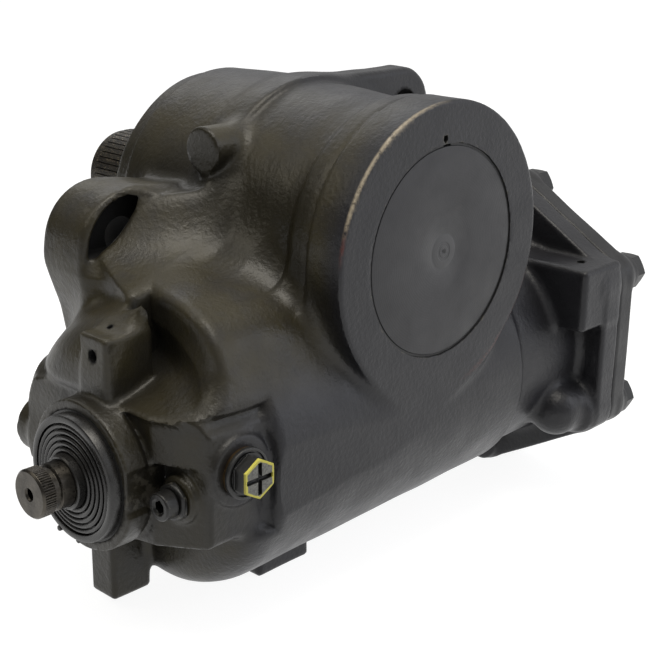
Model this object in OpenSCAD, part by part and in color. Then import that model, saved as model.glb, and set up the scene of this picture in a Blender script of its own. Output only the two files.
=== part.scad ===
// Steering gearbox with recirculating-ball worm, rack piston and sector shaft.
// The worm runs along X, the sector (output) shaft along Y above it.
// The origin is the middle of the output serration, where the drop arm sits.

/* [Sector gear] */
// Module of the sector teeth and the rack
gear_module = 8; // [7.5:0.25:8]
// Teeth of the full gear that the sector is cut from
virtual_teeth = 10; // [10:1:10]
// Teeth left on the sector
sector_teeth = 5; // [3:2:5]
// Pressure angle of the teeth
pressure_angle = 25; // [24:0.5:26]
// Width of the sector and of the rack
face_width = 50; // [40:1:52]
// Height of the rack's pitch line above the worm axis
rack_pitch_z = 43; // [42:0.5:45]
// Swing of the sector shaft to each side
sector_swing = 45; // [30:1:45]
// Play between sector teeth and rack, measured along the pitch line
backlash = 0.4; // [0.3:0.05:0.8]

/* [Piston] */
// Radius of the cylinder bore
bore_r = 52.5; // [52:0.25:54]
// End of the piston on the valve side, measured from the sector axis
piston_back = 68; // [66:1:74]
// Length of the cylinder between its bulkhead and the cover
cylinder_len = 238.032; // [234:1:244]
// Room left at each end of the stroke
end_gap = 4.6; // [3:0.2:8]
// Width of the piston ring
piston_ring_w = 6; // [4:0.5:8]
// Depth of the piston ring groove
piston_ring_d = 5; // [4:0.5:6]

/* [Ball screw] */
// Lead of the worm
worm_lead = 16; // [15:0.5:18]
// Outer radius of the worm
worm_r = 15; // [14.5:0.25:15.5]
// Radius of the circle that the ball centres lie on
ball_circle_r = 16; // [15.75:0.25:16.5]
// Radius of the balls
ball_r = 2.9; // [2.6:0.1:3]
// Length of the ball nut
nut_len = 44; // [36:1:46]
// Outer radius of the ball nut
nut_r = 24.5; // [24:0.25:26]
// Balls in one turn of the track
balls_per_turn = 12; // [8:1:14]
// Wall round the ball return tube's passage
return_tube_wall = 0.6; // [0.4:0.1:1]

/* [Valve] */
// Radius of the valve bore in the housing
valve_bore_r = 30; // [29:0.5:31]
// Radius of the rotary valve sleeve
sleeve_r = 21.7; // [21:0.1:22]
// Radius of the valve spool on the input shaft
spool_r = 14; // [13:0.5:15]
// Length of the valve sleeve beyond its flange
sleeve_len = 28; // [24:1:30]
// Thickness of the valve sleeve's flange
sleeve_flange_t = 6; // [5:0.5:8]
// Thickness of each thrust bearing
thrust_t = 4; // [3:0.5:5]
// Wall between the cylinder and the valve bore
bulkhead_t = 4; // [4:0.5:8]
// Length of the adjuster nut
adjuster_len = 41; // [40:1:46]
// Radius of the torsion bar
torsion_r = 4.5; // [4:0.25:5]
// Twist of the input shaft against the worm to each side
valve_twist = 5; // [3:0.5:6]

/* [Input shaft] */
// Radius over the input serration, 7/8 inch
input_r = 11.1; // [11:0.05:11.2]
// Grooves in the input serration
input_grooves = 36; // [36:1:36]
// Length of the input serration
input_serration_len = 11; // [10:0.5:14]
// How far the shaft stands out of the boss
input_reach = 26.5; // [25:0.1:30]
// Radius of the shaft in its bearing
input_journal_r = 10.5; // [10:0.1:10.8]
// Radius of the clamp groove behind the serration
clamp_groove_r = 9.3; // [9:0.1:10]
// Width of the clamp groove
clamp_groove_w = 4; // [3:0.5:5]

/* [Output shaft] */
// Radius over the output serration
output_r = 25; // [24:0.25:25.5]
// Grooves in the output serration
output_grooves = 48; // [36:1:48]
// Length of the output serration
output_serration_len = 39; // [34:1:42]
// Plain end beyond the serration
output_end_len = 7; // [4:0.5:10]
// Radius of the shaft in the rear bearing
rear_journal_r = 26; // [25.75:0.25:26.5]
// Radius of the shaft in the front bearing
front_journal_r = 20; // [19:0.25:21]
// Distance from the mounting face to the serration
output_neck_len = 31; // [28:1:36]

/* [Housing] */
// Radius of the barrel at the valve end
barrel_r = 68.5; // [67:0.5:70]
// Radius of the barrel where it steps down to the neck
barrel_front_r = 64.7; // [64:0.1:66]
// Radius of the neck between barrel and cover flange
neck_r = 60.5; // [59:0.5:62]
// Where the barrel steps down, measured from the sector axis
barrel_step_x = 70; // [64:1:76]
// Rounding of the barrel's end at the valve side
barrel_end_round = 27; // [20:1:30]
// Radius of the drum round the sector shaft
drum_r = 70.5; // [69:0.5:72]
// Step between the drum's rear half and its waist behind the lid flange
drum_waist = 1.5; // [0.5:0.5:3]
// Thickness of the lid flange on the drum
lid_flange_t = 17; // [14:1:20]
// Machined lid face, measured from the worm axis
lid_face = 66; // [65:0.5:68]
// Rear end of the drum, which centres the gearbox in its bracket, from the worm axis
drum_end = 100; // [98:1:104]
// Front of the drum's rear half and of the top lug, measured from the worm axis
rear_half_front = 22; // [18:1:30]
// Rounding of the drum's rear edge
drum_rear_round = 4; // [3:1:8]
// Wall of the housing round the valve bore
boss_wall = 4.5; // [4:0.5:6]
// How far the input boss stands out of the valve head
boss_reach = 18; // [16:1:20]
// Height of the foot's sole below the worm axis
foot_z = 77.5; // [76:0.5:78]
// Height of the end pad's sole below the worm axis
pad_z = 71.5; // [70:0.5:73]

/* [Mounting] */
// Mounting plane at the back of the lugs, measured from the worm axis
mount_face = 72; // [70:1:76]
// Radius of the side lug's bolt hole, for M16
side_hole_r = 8.75; // [8:0.25:9]
// Radius of the side lug
side_lug_r = 28.5; // [27:0.5:30]
// Thickness of the side lug under its spot face
side_lug_t = 22; // [20:1:24]
// Radius of the spot face on the side lug
spot_face_r = 17.5; // [17:0.25:18]
// Radius of the top lug's bolt hole, for M16
top_hole_r = 8.75; // [8:0.25:9]
// Radius of the top lug
lug_r = 20; // [18:0.5:22]
// Thickness of the top lug
top_lug_t = 16; // [12:1:20]
// Radius of the tapped holes in the two low lugs, M18
tapped_r = 8.25; // [7:0.25:9]
// Depth of the tapped holes
tapped_len = 22; // [18:1:23]
// Radius of the low lugs
low_lug_r = 19; // [17:0.5:22]
// Radius of the pressure port, M18
pressure_port_r = 8.25; // [7:0.25:9]
// Radius of the return port, M22
return_port_r = 10.25; // [9:0.25:10.5]
// Depth of the two ports
port_len = 18; // [14:1:20]

/* [Covers] */
// Radius of the sector cover
lid_r = 50.7; // [50:0.1:52]
// Thickness of the sector cover's plate
lid_t = 14; // [12:1:16]
// Radius of the circle of cover bolts
bolt_circle_r = 74.5; // [73.5:0.5:76]
// Radius of the material round each cover bolt
bolt_lug_r = 11.5; // [11:0.5:12.5]
// Radius of the cover bolts, M12
bolt_r = 6; // [5:0.5:6]
// Width across flats of the cover bolts
bolt_af = 18; // [17:0.5:19]
// Height of the bolt heads
bolt_head_h = 7.5; // [7:0.5:8]
// Height of the bolt circle's centre above the worm axis
bolt_centre_z = 3; // [2:0.5:4]
// Length of the bolts under the head
bolt_len = 34; // [32:1:35]
// Thickness of the housing's cover flange
flange_t = 14; // [12:1:16]
// Thickness of the cylinder cover
cover_t = 13; // [12:1:15]
// Height of the bolt bosses on the cover
cover_boss_h = 6; // [5:1:8]
// Length of the cover's spigot in the bore
cover_spigot_len = 7; // [7:0.5:9]

/* [Clearances] */
// Radial play of a turning or sliding fit
run_fit = 0.05; // [0.02:0.01:0.08]
// Play between flat faces that turn on each other
face_gap = 0.05; // [0.02:0.01:0.2]
// Radial play of fixed pieces in their seats
seat_fit = 0.02; // [0.01:0.01:0.05]
// Room round pieces that pass each other freely
free_gap = 0.3; // [0.25:0.05:0.5]

/* [Hidden] */
$fn = 64;

// Gear train
pitch_r = gear_module * virtual_teeth / 2;
addendum = 0.8 * gear_module;
dedendum = gear_module;
base_r = pitch_r * cos(pressure_angle);
tip_r = pitch_r + addendum;
root_r = pitch_r - dedendum;
sector_z = rack_pitch_z + pitch_r;
rack_pitch = PI * gear_module;
stroke = pitch_r * sector_swing * PI / 180;
piston_front = cylinder_len - 2 * (stroke + end_gap) - piston_back;

// Stations along the worm axis, from the cover to the input end
spigot_x = piston_front + stroke + end_gap;
flange_x = spigot_x + cover_spigot_len;
cover_groove_x = spigot_x + 2;
flange_back_x = flange_x - flange_t;
cover_x = flange_x + cover_t;
bolt_seat_x = cover_x + cover_boss_h;
bulkhead_x = -(piston_back + stroke + end_gap);
shoulder_x = bulkhead_x - bulkhead_t;
sleeve_flange_x = shoulder_x - thrust_t;
sleeve_back_x = sleeve_flange_x - sleeve_flange_t;
adjuster_x = sleeve_back_x - thrust_t;
sleeve_end_x = sleeve_back_x - sleeve_len;
boss_x = adjuster_x - adjuster_len;
head_x = boss_x + boss_reach;
input_end_x = boss_x - input_reach;
barrel_end_x = head_x - 8;

// Stations along the sector axis
lid_y = -lid_face;
washer_t = 4;
chamber_y = face_width / 2 + washer_t + 2 * face_gap;
chamber_r = lid_r + seat_fit;
serration_y = drum_end + output_neck_len;
arm_y = serration_y + output_serration_len / 2;
output_end_y = serration_y + output_serration_len + output_end_len;
lid_hub_y = -(face_width / 2 + 2);
lid_inner_y = lid_y + lid_t;
lid_groove_y = lid_y + 8;
snap_y = [lid_y + 1, lid_y + 2.8];
snap_depth = 2;
snap_grip = 1;
rear_bearing_wall = 6;
front_bearing_wall = 4;
seal_wall = 8;
bearing_y = [chamber_y + 4, chamber_y + 46];
seal_y = [bearing_y[1] + 3, bearing_y[1] + 12];
dust_seal_y = [seal_y[1] + 2, drum_end - 0.5];

// Input end details
boss_r = valve_bore_r + boss_wall;
bearing_r = 16;
input_seal_w = 5;
input_bearing_w = 7;
input_bearing_x = [boss_x + input_seal_w, boss_x + input_seal_w + input_bearing_w];
adjuster_step_x = input_bearing_x[1] + 1;
adjuster_groove_x = boss_x + input_seal_w + 3;
seal_wire_r = 1.35;
seal_groove_w = 3.2;
seal_groove_d = 2.8;
slot_w = 11;
tang_len = 8;
sleeve_bore_x = sleeve_flange_x - 2;
tang_end_x = sleeve_bore_x + tang_len;
torsion_x = [boss_x + 2, tang_end_x + 8];
hub_r = worm_r - 0.5;
worm_x = [bulkhead_x + 6, 14];
pin_x = torsion_x[1] - 3;
pin_r = 1.5;

// Ball nut
nut_x = [-piston_back + 4, -piston_back + 4 + nut_len];
track_r = ball_r + free_gap;
nut_track_r = track_r + free_gap;
nut_bore_r = worm_r + 2;
return_tube_r = ball_r + return_tube_wall + free_gap / 2;
return_tube_z = -(nut_r + free_gap + return_tube_r);
piston_r = bore_r - run_fit;
piston_ring_x = piston_front - 16;

// Mounting lugs in the plane of the mounting face, as [x, z]
side_lug = [-99.5, sector_z - 0.5];
side_hole = [-99, sector_z + 4];
top_lug = [drum_r, sector_z + drum_r - 1.5 - lug_r];
low_front_lug = [drum_r + 22, 30];
low_back_lug = [-60, -30];
side_lug_front = mount_face - side_lug_t;
spot_face_t = 4;
web_low = [-112, 36];
web_inner = [-40, 20];
low_lug_root = 30;

// Shoulder between the drum, the barrel's end and the side lug: a plane that rises
// towards the drum and the mounting face, with a steeper fall at its front
shoulder_point = [-122, 14, barrel_r + 3.5];
shoulder_slope = 0.3;
shoulder_front_y = -38;
shoulder_front_slope = 1.3;
shoulder_left = -131.4;
shoulder_inner_x = -30;
fillet_y = [-12, 60];

// Feet, as [x, y] corners and [y, y] sides
foot_low = [-75, -19];
foot_high = [-41, 40];
pad_y = [3, 21];
pad_len = 19;

// Block behind the cover flange, as [y, z] corners
flange_block_low = [-76, 19];
flange_block_high = [-30, 53];
flange_block_len = 21;

// Stub boss on the drum, left as cast
stub_r = 11;
stub_y = 25;
stub_z = sector_z + 42;
stub_x = -70;

// Valve head, its ports, and what is screwed into it
head_depth = 40;
head_front = -58.5;
head_top = 33;
notch_x = head_x + 38;
rim_x = head_x + 15;
port_wall = 4;
passage_r = 4;
port_x = head_x + 11;
pressure_port = [59, 22];
return_port = [72, -4];
limiter_y = -43.5;
limiter_z = -2.5;
limiter_r = 5;
limiter_head_r = 6;
limiter_pad_t = 2;
limiter_nut_t = 5;
limiter_af = 16;
limiter_reach = 10.5;
relief_x = head_x + 21;
relief_z = 10;
relief_face_y = -61.5;
relief_boss_r = 15.5;
relief_r = 5;
relief_af = 16;
relief_head_h = 7;
relief_collar_h = 2.5;
relief_washer_t = 1.5;
relief_len = 14;
relief_depth = 26;
stop_lug_w = 19;
stop_lug_top = 62;
stop_hole_r = 2.75;

// Helpers: solids along an axis, and flat outlines stood up

module rod_x(x0, x1, r, y = 0, z = 0) {
    translate([x0, y, z]) rotate([0, 90, 0]) cylinder(h = x1 - x0, r = r);
}

module rod_y(y0, y1, r, x = 0, z = 0) {
    translate([x, y0, z]) rotate([-90, 0, 0]) cylinder(h = y1 - y0, r = r);
}

module tube_x(x0, x1, r_out, r_in) {
    difference() {
        rod_x(x0, x1, r_out);
        rod_x(x0 - 1, x1 + 1, r_in);
    }
}

module tube_y(y0, y1, r_out, r_in, x = 0, z = 0) {
    difference() {
        rod_y(y0, y1, r_out, x, z);
        rod_y(y0 - 1, y1 + 1, r_in, x, z);
    }
}

module block(low, high) {
    translate(low) cube(high - low);
}

// Turned shape about X: points are [radius, x]
module turned_x(points) {
    rotate([0, 90, 0]) rotate_extrude() polygon(points);
}

// Turned shape about the sector axis: points are [radius, y]
module turned_y(points) {
    translate([0, 0, sector_z]) rotate([-90, 0, 0]) rotate_extrude() polygon(points);
}

// Outline in [y, z], thick along X
module plate_x(x0, x1) {
    translate([x0, 0, 0]) rotate([90, 0, 90]) linear_extrude(x1 - x0) children();
}

// Outline in [x, z], thick along Y
module plate_y(y0, y1) {
    translate([0, y1, 0]) rotate([90, 0, 0]) linear_extrude(y1 - y0) children();
}

// Hexagon across flats, as a flat outline
module hexagon(af) {
    circle(d = af / cos(30), $fn = 6);
}

function polar(r, a) = [r * cos(a), r * sin(a)];

// Points of an arc, for rounded edges of turned shapes
function arc(centre, r, a0, a1, steps = 6) =
    [for (i = [0 : steps]) centre + polar(r, a0 + (a1 - a0) * i / steps)];

// Two discs and the tangent web between them, as a flat outline
module tapered_arm(p1, r1, p2, r2) {
    d = p2 - p1;
    heading = atan2(d[1], d[0]);
    lean = acos((r1 - r2) / norm(d));
    translate(p1) circle(r1);
    translate(p2) circle(r2);
    polygon([
        p1 + polar(r1, heading + lean),
        p2 + polar(r2, heading + lean),
        p2 + polar(r2, heading - lean),
        p1 + polar(r1, heading - lean)
    ]);
}

// Torus about X
module ring_x(x, r, thick_r) {
    translate([x, 0, 0]) rotate([0, 90, 0])
        rotate_extrude() translate([r, 0]) circle(thick_r, $fn = 24);
}

// Torus about the sector axis
module ring_y(y, r, thick_r) {
    translate([0, y, sector_z]) rotate([90, 0, 0])
        rotate_extrude() translate([r, 0]) circle(thick_r, $fn = 24);
}

// Disc with narrow V grooves, as a flat outline
module serrated_disc(r, grooves, width, depth) {
    difference() {
        circle(r);
        for (i = [0 : grooves - 1]) rotate(360 * i / grooves)
            polygon([[r - depth, 0], [r + 0.2, width * 0.6], [r + 0.2, -width * 0.6]]);
    }
}

// The six cover bolts sit at the corners of the hexagonal flange
bolt_angles = [for (i = [0 : 5]) 30 + 60 * i];

module at_bolts() {
    for (a = bolt_angles)
        translate([0, bolt_circle_r * cos(a), bolt_centre_z + bolt_circle_r * sin(a)]) children();
}

// Hexagon round the bolts with its corners rounded off, as a flat outline
module hexagonal_flange() {
    apothem = bolt_circle_r * cos(30) + bolt_lug_r;
    translate([0, bolt_centre_z]) intersection() {
        rotate(30) hexagon(2 * apothem);
        circle(bolt_circle_r + bolt_lug_r);
    }
}

// Housing

module barrel() {
    end_arc = arc([barrel_r - barrel_end_round, barrel_end_x + barrel_end_round],
                  barrel_end_round, -90, 0);
    turned_x(concat(
        [[0, barrel_end_x]],
        end_arc,
        [
            [barrel_front_r, barrel_step_x],
            [neck_r, barrel_step_x + 6],
            [neck_r, flange_back_x + 1],
            [0, flange_back_x + 1]
        ]
    ));
}

module drum() {
    edge = 1.5;
    rear = drum_rear_round;
    waist_r = drum_r - drum_waist;
    waist_y = lid_y + lid_flange_t;
    turned_y(concat(
        [
            [0, lid_y], [drum_r - edge, lid_y], [drum_r, lid_y + edge],
            [drum_r, waist_y - drum_waist], [waist_r, waist_y],
            [waist_r, rear_half_front - drum_waist], [drum_r, rear_half_front]
        ],
        arc([drum_r - rear, drum_end - rear], rear, 0, 90),
        [[0, drum_end]]
    ));
}

module mounting_lugs() {
    axis = [0, sector_z];
    plate_y(rear_half_front, rear_half_front + top_lug_t) tapered_arm(axis, drum_r - 1, top_lug, lug_r);
    plate_y(side_lug_front - spot_face_t, mount_face) {
        tapered_arm(axis, drum_r - 20, side_lug, side_lug_r);
        polygon([side_lug + [-side_lug_r, 0], web_low, web_inner, side_lug + [40, 0]]);
    }
    for (p = [low_front_lug, low_back_lug]) rod_y(low_lug_root, mount_face, low_lug_r, p[0], p[1]);
    rod_x(stub_x, -20, stub_r, stub_y, stub_z);
    block([stub_x + 4, stub_y - 3, stub_z - stub_r - 9], [-20, stub_y + 3, stub_z]);
}

// Everything below a sloping plane through a point
module below_plane(point, slope_x, slope_y) {
    size = 2 * barrel_r;
    steep = norm([slope_x, slope_y, 1]);
    translate(point) rotate([asin(slope_y / steep), -atan(slope_x), 0])
        translate([-size, -size, -2 * size]) cube(2 * size);
}

module shoulder() {
    front_rise = shoulder_slope * (shoulder_front_y - shoulder_point[1]);
    intersection() {
        linear_extrude(2 * barrel_r) polygon([
            [shoulder_left - shoulder_slope * 50, -50], [shoulder_inner_x, -50],
            [shoulder_inner_x, mount_face], [shoulder_left + shoulder_slope * mount_face, mount_face]
        ]);
        below_plane(shoulder_point, shoulder_slope, shoulder_slope);
        below_plane([shoulder_point[0], shoulder_front_y, shoulder_point[2] + front_rise],
                    shoulder_slope, shoulder_front_slope);
    }
}

// Hollow fillet from the shoulder up the drum's flank, drawn where y is that of the
// shoulder's point and pushed along the slope
module drum_fillet() {
    rise = atan(shoulder_slope);
    start = (fillet_y[0] - shoulder_point[1]) / cos(rise);
    end = (fillet_y[1] - shoulder_point[1]) / cos(rise);
    step = drum_r - drum_waist;
    translate([0, shoulder_point[1], shoulder_point[2]]) rotate([rise, 0, 0]) plate_y(start, end) polygon([
        [-step - 42, 2], [-step - 30, 8.5], [-step - 20, 15], [-step - 11.5, 23], [-step - 4, 33],
        [-step + 4, 43], [-step + 20, 43], [-step + 20, -10], [-step - 42, -10]
    ]);
}

module valve_head() {
    plate_x(head_x, head_x + head_depth) polygon([
        [head_front, -23.5], [head_front, head_top - 5], [head_front + 5, head_top], [34, head_top],
        [54, head_top - 6], [60, 14], [60, -14], [46, -24], [-12.5, -30]
    ]);
    rod_x(boss_x, head_x + 1, boss_r);
    block([boss_x + 8, -stop_lug_w / 2, 0], [boss_x + 29, stop_lug_w / 2, stop_lug_top]);
    rod_x(head_x - limiter_pad_t, head_x + 1, limiter_head_r + 5, limiter_y, limiter_z);
    rod_y(relief_face_y, -20, relief_boss_r, relief_x, relief_z);
    rod_y(30, pressure_port[0] + 0.6, pressure_port_r + port_wall, port_x, pressure_port[1]);
    rod_y(30, return_port[0], return_port_r + port_wall, port_x, return_port[1]);
}

// What the valve head takes away from the barrel's end: a hollow beside the stop lug,
// and a notch where the head's front stands free
module head_pocket() {
    side = -stop_lug_w / 2;
    block([boss_x, -barrel_r - 8, head_top], [rim_x, side, barrel_r + 4]);
    intersection() {
        rod_x(boss_x, rim_x + 12, barrel_r - 7);
        block([boss_x, -barrel_r, head_top], [rim_x + 13, side, barrel_r]);
    }
    block([boss_x, -barrel_r - 8, -22], [notch_x, -45, head_top + 1]);
    block([boss_x, -barrel_r - 8, -24], [head_x + 1, barrel_r + 8, head_top - 1]);
}

module cover_flange() {
    dome_r = bolt_lug_r + 3;
    dome = polar(bolt_circle_r - 8, 210);
    plate_x(flange_back_x, flange_x) hexagonal_flange();
    for (a = bolt_angles)
        rod_x(flange_back_x - 5, flange_x, bolt_lug_r - 1,
              bolt_circle_r * cos(a), bolt_centre_z + bolt_circle_r * sin(a));
    translate([flange_back_x - 14, dome[0], dome[1] + bolt_centre_z]) {
        sphere(dome_r);
        rod_x(0, flange_t, dome_r);
    }
    block([flange_back_x - flange_block_len, flange_block_low[0], flange_block_low[1]],
          [flange_x - 1, flange_block_high[0], flange_block_high[1]]);
}

module feet() {
    block([foot_low[0], foot_low[1], -foot_z], [foot_high[0], foot_high[1], -neck_r / 2]);
    block([head_x, pad_y[0], -pad_z], [head_x + pad_len, pad_y[1], -neck_r / 3]);
}

module housing_cavities() {
    rod_x(bulkhead_x, flange_x + 1, bore_r);
    rod_x(shoulder_x - 1, bulkhead_x + 1, worm_r + 3);
    rod_x(boss_x - 1, shoulder_x, valve_bore_r);
    rod_y(lid_y - 1, chamber_y, chamber_r, 0, sector_z);
    rod_y(snap_y[0], snap_y[1], lid_r + snap_depth, 0, sector_z);
    rod_y(0, bearing_y[1], rear_journal_r + rear_bearing_wall + seat_fit, 0, sector_z);
    rod_y(0, drum_end + 1, rear_journal_r + 1, 0, sector_z);
    rod_y(seal_y[0], drum_end + 1, rear_journal_r + seal_wall + seat_fit, 0, sector_z);
}

module housing_holes() {
    rod_y(0, side_lug_front, spot_face_r, side_hole[0], side_hole[1]);
    rod_y(side_lug_front - 1, mount_face + 1, side_hole_r, side_hole[0], side_hole[1]);
    rod_y(rear_half_front - 1, rear_half_front + top_lug_t + 1, top_hole_r, top_lug[0], top_lug[1]);
    for (p = [low_front_lug, low_back_lug])
        rod_y(mount_face - tapped_len, mount_face + 1, tapped_r, p[0], p[1]);
    rod_y(pressure_port[0] - port_len, pressure_port[0] + 1, pressure_port_r, port_x, pressure_port[1]);
    rod_y(return_port[0] - port_len, return_port[0] + 1, return_port_r, port_x, return_port[1]);
    rod_y(pressure_port[0], mount_face + 1, pressure_port_r + port_wall - 1, port_x, pressure_port[1]);
    for (z = [pressure_port[1], return_port[1]]) rod_y(12, return_port[0] - port_len + 1, passage_r, port_x, z);
    rod_x(head_x - limiter_pad_t - 1, bulkhead_x + 1, limiter_r + seat_fit, limiter_y, limiter_z);
    rod_y(relief_face_y - 1, relief_face_y + relief_depth, relief_r + seat_fit, relief_x, relief_z);
    rod_x(boss_x + 7, boss_x + 20, stop_hole_r, 0, stop_lug_top - 9);
    at_bolts() rod_x(bolt_seat_x - bolt_len - 1.5, flange_x + 1, bolt_r + seat_fit);
}

module housing() {
    color("#3c3b38") difference() {
        union() {
            difference() {
                barrel();
                head_pocket();
            }
            drum();
            mounting_lugs();
            shoulder();
            drum_fillet();
            valve_head();
            cover_flange();
            feet();
        }
        housing_cavities();
        housing_holes();
    }
}

// Covers and their seals

module cylinder_cover() {
    color("#403f3d") difference() {
        union() {
            plate_x(flange_x, cover_x) hexagonal_flange();
            at_bolts() rod_x(cover_x - 1, bolt_seat_x, bolt_lug_r - 1);
            rod_x(spigot_x, flange_x + 1, bore_r - seat_fit);
            turned_x([[0, cover_x - 1], [46, cover_x - 1], [42, cover_x + 5], [0, cover_x + 5]]);
        }
        tube_x(cover_groove_x, cover_groove_x + seal_groove_w, bore_r + 1, bore_r - seal_groove_d);
        at_bolts() rod_x(flange_x - 1, bolt_seat_x + 1, bolt_r + 0.5);
        rod_x(spigot_x - 1, flange_x + 4, bore_r - 9);
    }
}

module cover_bolts() {
    color("#55504a") at_bolts() {
        rod_x(bolt_seat_x - bolt_len, bolt_seat_x + 1, bolt_r);
        plate_x(bolt_seat_x, bolt_seat_x + bolt_head_h) hexagon(bolt_af);
    }
}

module cover_seal() {
    color("#1c1c1c") ring_x(cover_groove_x + seal_groove_w / 2, bore_r - seal_groove_d / 2, seal_wire_r);
}

module sector_cover() {
    bearing_out_r = front_journal_r + front_bearing_wall;
    color("#4a4a4b") difference() {
        union() {
            rod_y(lid_y + 0.5, snap_y[1] + 1, lid_r - snap_grip - seat_fit, 0, sector_z);
            rod_y(snap_y[1], lid_inner_y, lid_r, 0, sector_z);
            rod_y(lid_inner_y - 1, lid_hub_y, bearing_out_r + 5, 0, sector_z);
        }
        tube_y(lid_groove_y, lid_groove_y + seal_groove_w, lid_r + 1, lid_r - seal_groove_d, 0, sector_z);
        rod_y(lid_y + 6, lid_hub_y + 1, bearing_out_r + seat_fit, 0, sector_z);
    }
}

// Open snap ring in the groove of the drum, in front of the cover's rim
module sector_cover_ring() {
    gap = 5;
    color("#6d6d6c") difference() {
        tube_y(snap_y[0], snap_y[1], lid_r + snap_depth - seat_fit, lid_r - snap_grip, 0, sector_z);
        block([-gap / 2, lid_y, sector_z], [gap / 2, lid_y + 5, sector_z + lid_r + 8]);
    }
}

module sector_cover_seal() {
    color("#1c1c1c") ring_y(lid_groove_y + seal_groove_w / 2, lid_r - seal_groove_d / 2, seal_wire_r);
}

// Bearings and seals of the sector shaft

module front_sector_bearing() {
    color("silver") tube_y(lid_hub_y - 22, lid_hub_y - 1, front_journal_r + front_bearing_wall,
                           front_journal_r + run_fit, 0, sector_z);
}

module rear_sector_bearing() {
    color("silver") tube_y(bearing_y[0], bearing_y[1] - 0.5, rear_journal_r + rear_bearing_wall,
                           rear_journal_r + run_fit, 0, sector_z);
}

module sector_thrust_washer() {
    color("silver") tube_y(chamber_y - washer_t, chamber_y, root_r + 4,
                           rear_journal_r + 1 + free_gap, 0, sector_z);
}

module lip_seal_y(y0, y1) {
    difference() {
        tube_y(y0, y1, rear_journal_r + seal_wall, rear_journal_r + run_fit, 0, sector_z);
        tube_y(y0 - 1, y1 - 2, rear_journal_r + seal_wall - 2, rear_journal_r + 2, 0, sector_z);
    }
}

module output_seal() {
    color("#26221f") lip_seal_y(seal_y[0], seal_y[1]);
}

module output_dust_seal() {
    color("#26221f") lip_seal_y(dust_seal_y[0], dust_seal_y[1]);
}

// Sector shaft

function involute(a) = tan(a) * 180 / PI - a;

// Half of the tooth's angle at radius r
function tooth_half_angle(r) =
    (rack_pitch / 2 - backlash / 2) / (2 * pitch_r) * 180 / PI
    + involute(pressure_angle) - involute(acos(base_r / r));

module sector_tooth() {
    steps = 7;
    flank = [for (i = [0 : steps]) base_r + (tip_r - base_r) * i / steps];
    one_side = [for (r = flank) polar(r, -90 + tooth_half_angle(min(r, tip_r)))];
    other_side = [for (i = [steps : -1 : 0]) polar(flank[i], -90 - tooth_half_angle(flank[i]))];
    foot = tooth_half_angle(base_r);
    polygon(concat(
        [polar(root_r - 6, -90 + foot)],
        one_side,
        other_side,
        [polar(root_r - 6, -90 - foot)]
    ));
}

module sector_outline() {
    tooth_angle = 360 / virtual_teeth;
    first = -(sector_teeth - 1) / 2;
    circle(root_r);
    for (i = [0 : sector_teeth - 1]) rotate((first + i) * tooth_angle) sector_tooth();
}

module sector_shaft() {
    front_end_y = lid_hub_y - 24;
    end_y = output_end_y - output_end_len;
    groove_d = 0.9;
    end_r = output_r - groove_d - 0.6;
    color("#5b5a57") {
        translate([0, 0, sector_z]) plate_y(-face_width / 2, face_width / 2) sector_outline();
        rod_y(front_end_y, 0, front_journal_r, 0, sector_z);
        rod_y(0, serration_y, rear_journal_r, 0, sector_z);
        translate([0, 0, sector_z]) plate_y(serration_y - 1, end_y)
            serrated_disc(output_r, output_grooves, 0.72, groove_d);
        turned_y([
            [0, end_y - 1], [end_r, end_y - 1], [end_r, output_end_y - 1.5],
            [end_r - 1.5, output_end_y], [0, output_end_y]
        ]);
    }
}

// Piston with rack, ring, ball nut and balls

module rack_gap() {
    low = -dedendum;
    high = addendum + 6;
    half = rack_pitch / 4 + backlash / 4;
    lean = tan(pressure_angle);
    polygon([
        [-(half + low * lean), rack_pitch_z + low], [half + low * lean, rack_pitch_z + low],
        [half + high * lean, rack_pitch_z + high], [-(half + high * lean), rack_pitch_z + high]
    ]);
}

module piston() {
    rack_half = (sector_teeth + 1) / 2 * rack_pitch;
    rack_tip_z = rack_pitch_z + addendum;
    tube_slot = return_tube_r + 2 * free_gap;
    bore_end_x = worm_x[1] + stroke + end_gap;
    color("#6b6b6a") difference() {
        rod_x(-piston_back, piston_front, piston_r);
        block([-piston_back - 1, -bore_r, rack_tip_z], [rack_half, bore_r, bore_r + 1]);
        for (i = [-(sector_teeth - 1) / 2 : (sector_teeth - 1) / 2])
            translate([i * rack_pitch, 0, 0])
                plate_y(-face_width / 2 - 1, face_width / 2 + 1) rack_gap();
        rod_x(-piston_back - 1, nut_x[1], nut_r + seat_fit);
        rod_x(nut_x[1] - 1, bore_end_x, worm_r + 2);
        block([-piston_back - 1, -tube_slot, return_tube_z - return_tube_r - free_gap],
              [nut_x[1], tube_slot, -nut_r + 6]);
        tube_x(piston_ring_x, piston_ring_x + piston_ring_w, bore_r + 1, piston_r - piston_ring_d);
    }
}

module piston_ring() {
    color("#202020") tube_x(piston_ring_x + face_gap, piston_ring_x + piston_ring_w - face_gap,
                            piston_r, piston_r - piston_ring_d / 2);
}

module piston_ring_backing() {
    color("#1c1c1c") tube_x(piston_ring_x + 1, piston_ring_x + piston_ring_w - 1,
                            piston_r - piston_ring_d / 2 - seat_fit, piston_r - piston_ring_d + seat_fit);
}

// Depth of the ball track at angle a: a ball's circle, met axially
function track_depth(a, r) =
    let (along = worm_lead * abs(a) / 360)
    along < r ? sqrt(r * r - along * along) : 0;

// Angles round the screw: fine steps across the track, coarse ones on the land
function track_angles(r) =
    let (half = 360 * r / worm_lead, fine = 4, coarse = 4)
    concat(
        [for (i = [-fine : fine]) half * i / fine],
        [for (i = [1 : 2 * coarse - 1]) half + (360 - 2 * half) * i / (2 * coarse)]
    );

function wrapped(a) = a > 180 ? a - 360 : a;

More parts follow.
